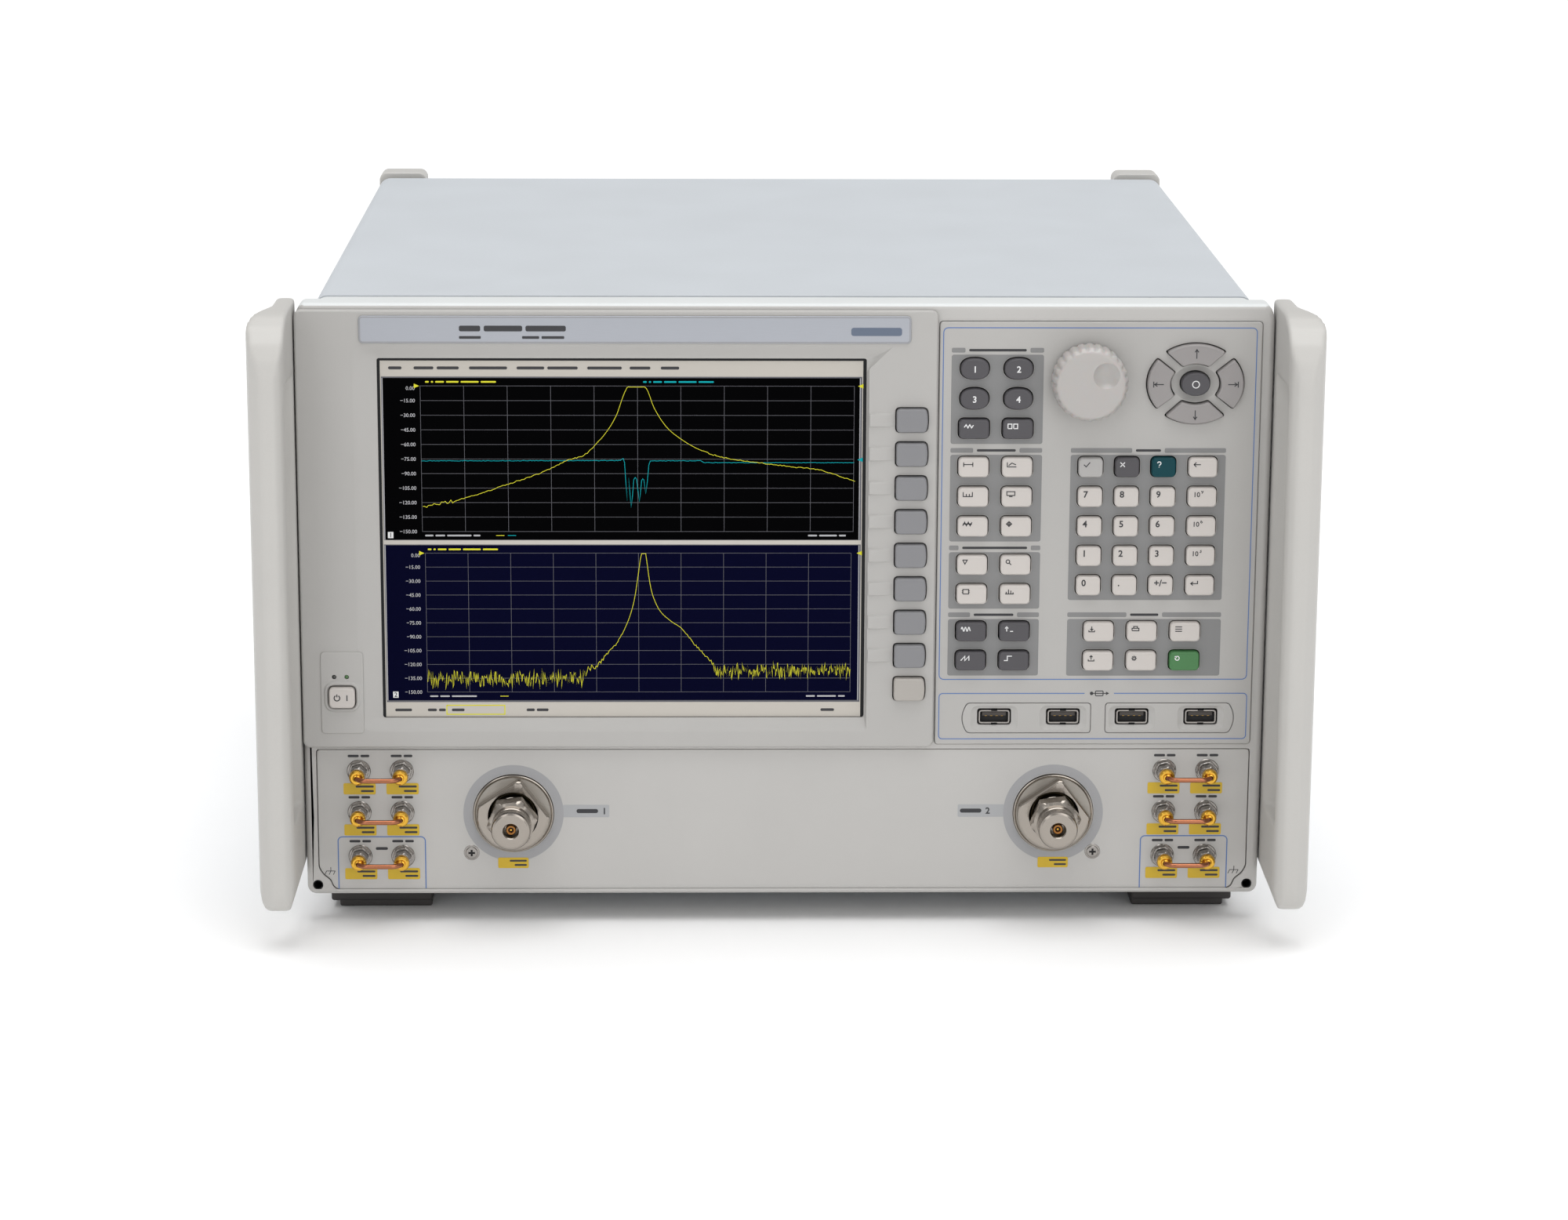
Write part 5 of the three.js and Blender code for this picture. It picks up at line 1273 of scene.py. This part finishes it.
def outer_cover():
    x0, x1, y0, y1, z0, z1 = span("outer_cover")
    sheet = 1.5
    outline, inside = box(x0, x1, z0, z1, 6, 8), box(x0 + sheet, x1 - sheet, z0 + sheet, z1 - sheet, 4.5, 8)
    sleeve, slots, screws = Shape(), Shape(), Shape()
    sleeve.loft([at(outline, y0), at(outline, y1), at(inside, y1), at(inside, y0)], loop=True)
    for side in (-1, 1):
        for y in (301.7 + 9.5 * i for i in range(8)):
            for z in (89, 157):
                slots.loft([[(side * (x1 - sheet / 2) + out, a, b) for a, b in around(y, z, 3.4, 58, 1.65)]
                            for out in (-3, 3)])
    piece("outer_cover_sleeve", cut_away(sleeve, slots), "root", "cover_paint",
          "outer_cover", crease=30)
    for side in (-1, 1):
        for y, z in ((40, 24), (40, 243), (388, 24), (388, 243)):
            screw = Shape()
            cross_screw(screw, y, z, 3.2, 0)
            screws.add([(side * (x1 + 0.75 - depth), a, b) for a, depth, b in screw.points], screw.faces,
                       screw.looks)
    piece("cover_screws", screws, "root", "nickel shadow_gap")


FAN_OPENING = 37.5  # radius


def rear_panel():
    x0, x1, y0, _, z0, z1 = span("rear_panel")
    y1 = y0 + 2
    fan_x, fan_z = centre("fan_housing")
    panel, connectors, guard, screws, labels = (Shape() for _ in range(5))
    slits = [box(-180, -40, 150 + 9 * i, 153 + 9 * i, 1.4) for i in range(6)]
    bay = box(-178, -60, 23, 60, 1.5)
    inlet = around(*centre("mains_inlet"), 27.6, 20.6, 0.4)
    holes = [circle(fan_x, fan_z, FAN_OPENING, 72), bay, inlet, *slits]
    panel.slab(box(x0, x1, z0, z1, 5, 6), y0, y1, holes, edge=0.2, back=0.3)
    connector = (  # profile of radius and height over the panel, sides, look
        ([(5.9, 3.2), (5.9, 8.6), (5.5, 9.0), (5.5, 11.6), (5.1, 12), (4.4, 12), (4.4, 4), (0, 4)], 36, 0),
        ([(1.9, 4), (1.9, 10), (0, 10)], 20, 1), ([(0.6, 10), (0.6, 10.8), (0, 10.8)], 12, 2))
    for i in range(6):
        x, z = -178 + 22 * i, 96
        connectors.turned(x, z, [(0, y1), (8.2, y1), (8.2, y1 + 0.8), (7.6, y1 + 1.2), (0, y1 + 1.2)], 36)
        chamfered_hex(connectors, x, z, 7.8, y1 + 1.0, y1 + 3.4, turn=10 * i)
        for profile, sides, look in connector:
            connectors.turned(x, z, [(r, y1 + up) for r, up in profile], sides, look)
    piece("rear_panel_sheet", panel, "root", "chassis_steel", "rear_panel")
    piece("rear_connectors", connectors, "root", "nickel white_ink gold")
    for r in (8, 13, 18, 23, 28, 33, 38):
        guard.tube(at(circle(fan_x, fan_z, r, 64), y1 + 1.9), 0.75, 8, loop=True)
    for turn in (45, 135, 225, 315):
        a = math.radians(turn)
        path = [(6, 3.3), (20, 3.3), (38, 3.3), (44, 3.1), (48, 1.6), (50.5, 0.9)]
        guard.tube([(fan_x + r * math.cos(a), y1 + up, fan_z + r * math.sin(a)) for r, up in path], 0.85, 8)
        guard.turned(fan_x + 50.5 * math.cos(a), fan_z + 50.5 * math.sin(a),
                     [(0, y1 + 2.6), (1.9, y1 + 2.4), (2.6, y1 + 1.4), (2.7, y1), (0, y1)], 20)
    piece("fan_guard", guard, "root", "nickel")
    for x in (-100, 0, 100):
        for z in (9, 258):
            screws.turned(x, z, [(0, y1 + 1.3), (1.9, y1 + 1.15), (2.8, y1 + 0.6), (3.0, y1), (0, y1)], 24)
    piece("rear_screws", screws, "root", "nickel")
    for sides in ((10, 70, 60, 96), (10, 44, 24, 48)):
        labels.slab(box(*sides, 1.5), y1 - 0.05, y1 + 0.25, edge=0, back=0.1)
    piece("rear_blank_labels", labels, "root", "nameplate_silver")
    io_bay(bay, y0)


def io_bay(bay, y0):
    """A bright shield plate behind the rear opening, through which the board's sockets pass."""
    shield, mouths = Shape(), Shape()
    # x, width, height
    sockets = [(-167, 16, 14), (-146, 14, 16), (-122, 18, 10), (-96, 24, 10), (-71, 16, 12)]
    holes = [box(x - w / 2 - 0.4, x + w / 2 + 0.4, 25.2, 30 + h + 0.4, 0.4) for x, w, h in sockets]
    shield.slab(inset(bay, -3), y0 - 1.2, y0 - 0.1, holes, edge=0)
    piece("io_shield", shield, "root", "brushed_steel")
    back_y = span("processor_board")[3]
    for x, w, h in sockets:
        rim = box(x - w / 2 - 0.15, x + w / 2 + 0.15, 25.4, 30 + h + 0.15, 0.6)
        mouth = inset(rim, 1.3)
        mouths.loft([at(rim, y0 - 2), at(rim, back_y + 0.3), at(inset(rim, 0.3), back_y + 0.6),
                     at(mouth, back_y + 0.6), at(mouth, back_y + 0.1)], ends=False)
        mouths.cap([mouth], back_y + 0.1, 1)
        rows = 2 if h > 13 else 1
        for row in range(rows):
            z = 25.6 + (30 + h - 25.6) * (row + 1) / (rows + 1)
            mouths.slab(box(x - w / 2 + 3, x + w / 2 - 3, z - 0.8, z + 0.8, 0.4), back_y + 0.05,
                        back_y + 0.5, edge=0, back=0.1, look=2)
    piece("io_sockets", mouths, "root", "socket_shell black_plastic gold")


def mains_inlet():
    x0, x1, y0, y1, z0, z1 = span("mains_inlet")
    x, z = centre("mains_inlet")
    inlet = Shape()
    mouth = rounded([(x + 11.6, z + 7.6, 3.6), (x - 11.6, z + 7.6, 3.6), (x - 11.6, z - 7.6, 0.8),
                     (x + 11.6, z - 7.6, 0.8)], 4)
    flange = box(x0 - 2.6, x1 + 2.6, z0 - 2.0, z1 + 2.0, 3)
    inlet.slab(box(x0, x1, z0, z1, 2.2), y0, y1 - 1.5, [mouth], edge=0.4, hole_edge=0)
    inlet.loft([at(mouth, y1 - 1.6), at(mouth, y1 - 0.2), at(inset(mouth, -0.4), y1)], ends=False)
    inlet.cap([inset(flange, 0.5), inset(mouth, -0.4)], y1)
    inlet.loft([at(flange, y1 - 2.9), at(flange, y1 - 0.5), at(inset(flange, 0.5), y1)], ends=False)
    inlet.cap([flange, mouth], y1 - 2.9)
    inlet.slab(mouth, y1 - 17, y1 - 15.6, edge=0)
    for dx, dz in ((-7, 0), (7, 0), (0, 4)):
        inlet.slab(around(x + dx, z + dz, 2.0, 4.0, 0.4), y1 - 16, y1 - 2.2, edge=0, back=0.5, look=1)
    piece("mains_inlet_shell", inlet, "root", "black_plastic nickel", "mains_inlet")


def fan():
    x, z = centre("fan_housing")
    y0, y1 = span("fan_housing")[2:4]
    housing, rotor = Shape(), Shape()
    corners = [circle(x + sx * 35.7, z + sz * 35.7, 2.2, 16) for sx in (-1, 1) for sz in (-1, 1)]
    housing.slab(around(x, z, 80, 80, 4, 5), y0, y1, [circle(x, z, 38, 72), *corners], edge=0.6, back=0.6,
                 hole_edge=0.8)
    housing.slab(circle(x, z, 17, 40), y0, y0 + 3, edge=0.5, back=0.3)
    for a in (math.radians(turn) for turn in (90, 210, 330)):
        along, across = Vector((math.cos(a), math.sin(a))), Vector((-math.sin(a), math.cos(a)))
        ends = [along * reach + across * aside
                for reach, aside in ((15, 1.6), (15, -1.6), (38.5, -1.6), (38.5, 1.6))]
        housing.slab([(x + p.x, z + p.y) for p in ends], y0, y0 + 3, edge=0.3)
    piece("fan_housing_moulding", housing, "root", "black_plastic", "fan_housing")
    y0, y1 = span("fan_rotor")[2:4]
    rotor.turned(x, z, [(0, y0), (16, y0), (17, y0 + 1), (17, y1 - 1.5), (15.6, y1), (0, y1)], 48)
    rotor.turned(x, z, [(0, y1 + 0.05), (11, y1 + 0.05), (11, y1 - 0.2), (0, y1 - 0.2)], 40, look=1)
    blades, half_chord, camber = 7, 9.2, 1.6
    section = ((-1, 0.15), (-0.5, 0.75), (0, 0.95), (0.5, 0.7), (1, 0.2), (0.5, -0.15), (0, -0.1),
               (-0.5, -0.05))
    for i in range(blades):
        rings = []
        for t in (k / 6 for k in range(7)):
            r, pitch, lean = 16.4 + 19.4 * t, math.radians(48 - 18 * t), 0.24 * t
            ring = []
            for s, thick in section:
                chord, rise = half_chord * s, thick + camber * (1 - s * s)
                y = (y0 + y1) / 2 + chord * math.sin(pitch) * 0.95 + rise * math.cos(pitch)
                swing = chord * math.cos(pitch) - rise * math.sin(pitch)
                a = 2 * math.pi * i / blades + lean + swing / r
                ring.append((x + r * math.cos(a), y, z + r * math.sin(a)))
            rings.append(ring)
        rotor.loft(rings)
    piece("fan_rotor_blades", rotor, "fan_rotor", "black_plastic nameplate_silver",
          "fan_rotor", crease=40)


def bumpers_and_feet():
    for word in ("left", "right"):
        for node in (f"bumper_top_{word}", f"bumper_bottom_{word}"):
            x0, x1, y0, y1, z0, z1 = span(node)
            middle = centre(node)
            bumper = Shape()
            bumper.slab(box(x0, x1, z0, z1, 4, 6), y0, y1, edge=0.8, back=4.0, steps=6)
            well = [(4.2, y1 + 0.02), (3.9, y1 + 0.02), (3.9, y1 - 3), (0, y1 - 3)]
            screw = [(0, y1 - 1.6), (2.4, y1 - 1.7), (3.0, y1 - 2.4), (3.0, y1 - 3), (0, y1 - 3)]
            bumper.turned(*middle, well, 32, look=1)
            bumper.turned(*middle, screw, 24, look=2)
            piece(f"{node}_moulding", bumper, "root", "handle_plastic shadow_gap nickel",
                  node)
        for node in (f"foot_front_{word}", f"foot_rear_{word}"):
            x0, x1, y0, y1, z0, z1 = span(node)
            step_z, step_x = z1 - 10.4, 3.7
            foot = Shape()
            foot.slab(box(x0, x1, step_z, z1, 1.2), y0, y1, edge=1.2, back=1.2)
            low = (x0, x1 - step_x) if word == "right" else (x0 + step_x, x1)
            foot.slab(box(*low, z0, step_z + 1, 1.0), y0 + 1, y1 - 4, edge=1.0, back=1.0)
            piece(f"{node}_moulding", foot, "root", "foot_plastic", node)


def inner_parts():
    """The parts inside keep their CAD shape and get their finish."""
    finishes = {"chassis_steel": ("chassis", "power_supply", "knob_encoder"),
                "circuit_board": ("key_board", "processor_board"), "module_alloy": ("microwave_deck",)}
    for look, node in ((look, node) for look, parts in finishes.items() for node in parts):
        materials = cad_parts[node].data.materials
        for i in range(len(materials)):
            materials[i] = LOOKS[look]


# ---------------------------------------------------------------- studio

FLOOR_REACH, FLOOR_DROP = 40, 0.0002  # half the floor's side and its distance under the feet, in metres
WORLD_GREYS = ((0.15, 1.0), (0.21, 0.4))  # height, grey: white behind the object, greyer above it


def studio():
    size, z = FLOOR_REACH, cad_low.z - FLOOR_DROP
    mesh = bpy.data.meshes.new("floor")
    mesh.from_pydata([(-size, -size, z), (size, -size, z), (size, size, z), (-size, size, z)], [],
                     [(0, 1, 2, 3)])
    mesh.materials.append(surface("floor_white", (248, 248, 248), 0.8, grain=(3, 0.0), tint=0.002, share=1))
    place("floor", mesh)

    world = bpy.data.worlds.new("studio")
    bpy.context.scene.world = world
    world.use_nodes = True
    nodes, links = world.node_tree.nodes, world.node_tree.links
    nodes["Background"].inputs["Strength"].default_value = 1.0
    split = nodes.new("ShaderNodeSeparateXYZ")
    ramp = nodes.new("ShaderNodeValToRGB")
    stops = ramp.color_ramp.elements
    stops[1].position = 0.75
    stops[0].color, stops[1].color = (1.0, 1.0, 1.0, 1), (0.62, 0.62, 0.62, 1)
    for height, grey in WORLD_GREYS:
        stops.new(height).color = (grey, grey, grey, 1)
    links.new(nodes.new("ShaderNodeTexCoord").outputs["Generated"], split.inputs[0])
    links.new(split.outputs["Z"], ramp.inputs["Fac"])
    links.new(ramp.outputs["Color"], nodes["Background"].inputs["Color"])

    def lamp(name, kind, energy, spot, toward, **facts):
        data = bpy.data.lights.new(name, kind)
        data.energy = energy
        for key, value in facts.items():
            setattr(data, key, value)
        light = place(name, data)
        light.location = spot
        light.rotation_euler = Vector(toward).to_track_quat("-Z", "Y").to_euler()

    lamp("sky_light", "SUN", 2.0, (0, 0, 0), (-0.02, 0.1, -1.0), angle=math.radians(60))
    lamp("softbox_right", "AREA", 10, (0.95, -2.5, 1.05), (-0.33, 0.88, -0.33),
         shape="RECTANGLE", size=1.4, size_y=1.4)
    lamp("softbox_left", "AREA", 4, (-1.0, -2.2, 1.05), (0.35, 0.85, -0.4),
         shape="RECTANGLE", size=0.6, size_y=1.5)


LENS, SENSOR = 94.98, 36  # in mm
CAMERA_SPOT = (-37.0, -1769.0, 560.8)
PITCH, YAW, ROLL = (math.radians(a) for a in (13.66, 1.19, -0.265))


def camera():
    """A long lens, a little above the instrument and left of its middle."""
    data = bpy.data.cameras.new("camera")
    data.lens = LENS
    data.sensor_width = SENSOR
    data.clip_end = 100
    made = place("camera", data)
    ahead = Vector((math.sin(YAW) * math.cos(PITCH), math.cos(YAW) * math.cos(PITCH), -math.sin(PITCH)))
    right = ahead.cross(Vector((0, 0, 1))).normalized()
    down = ahead.cross(right)
    turned_right = right * math.cos(ROLL) + down * math.sin(ROLL)
    turned_down = down * math.cos(ROLL) - right * math.sin(ROLL)
    turn = Matrix((turned_right, -turned_down, -ahead)).transposed().to_4x4()
    made.matrix_world = Matrix.Translation(ORIGIN + Vector(CAMERA_SPOT) * MM) @ turn
    bpy.context.scene.camera = made


for make in (camera, studio, front_frame, display_bezel, display, keypad_panel, nameplate, key_pads,
             soft_keys, power_button, cursor_keys, knob, test_port_panel, ports, links, usb_sockets,
             outer_cover, rear_panel, mains_inlet, fan, bumpers_and_feet, handles, inner_parts):
    make()
bpy.context.scene.view_settings.view_transform = "Standard"
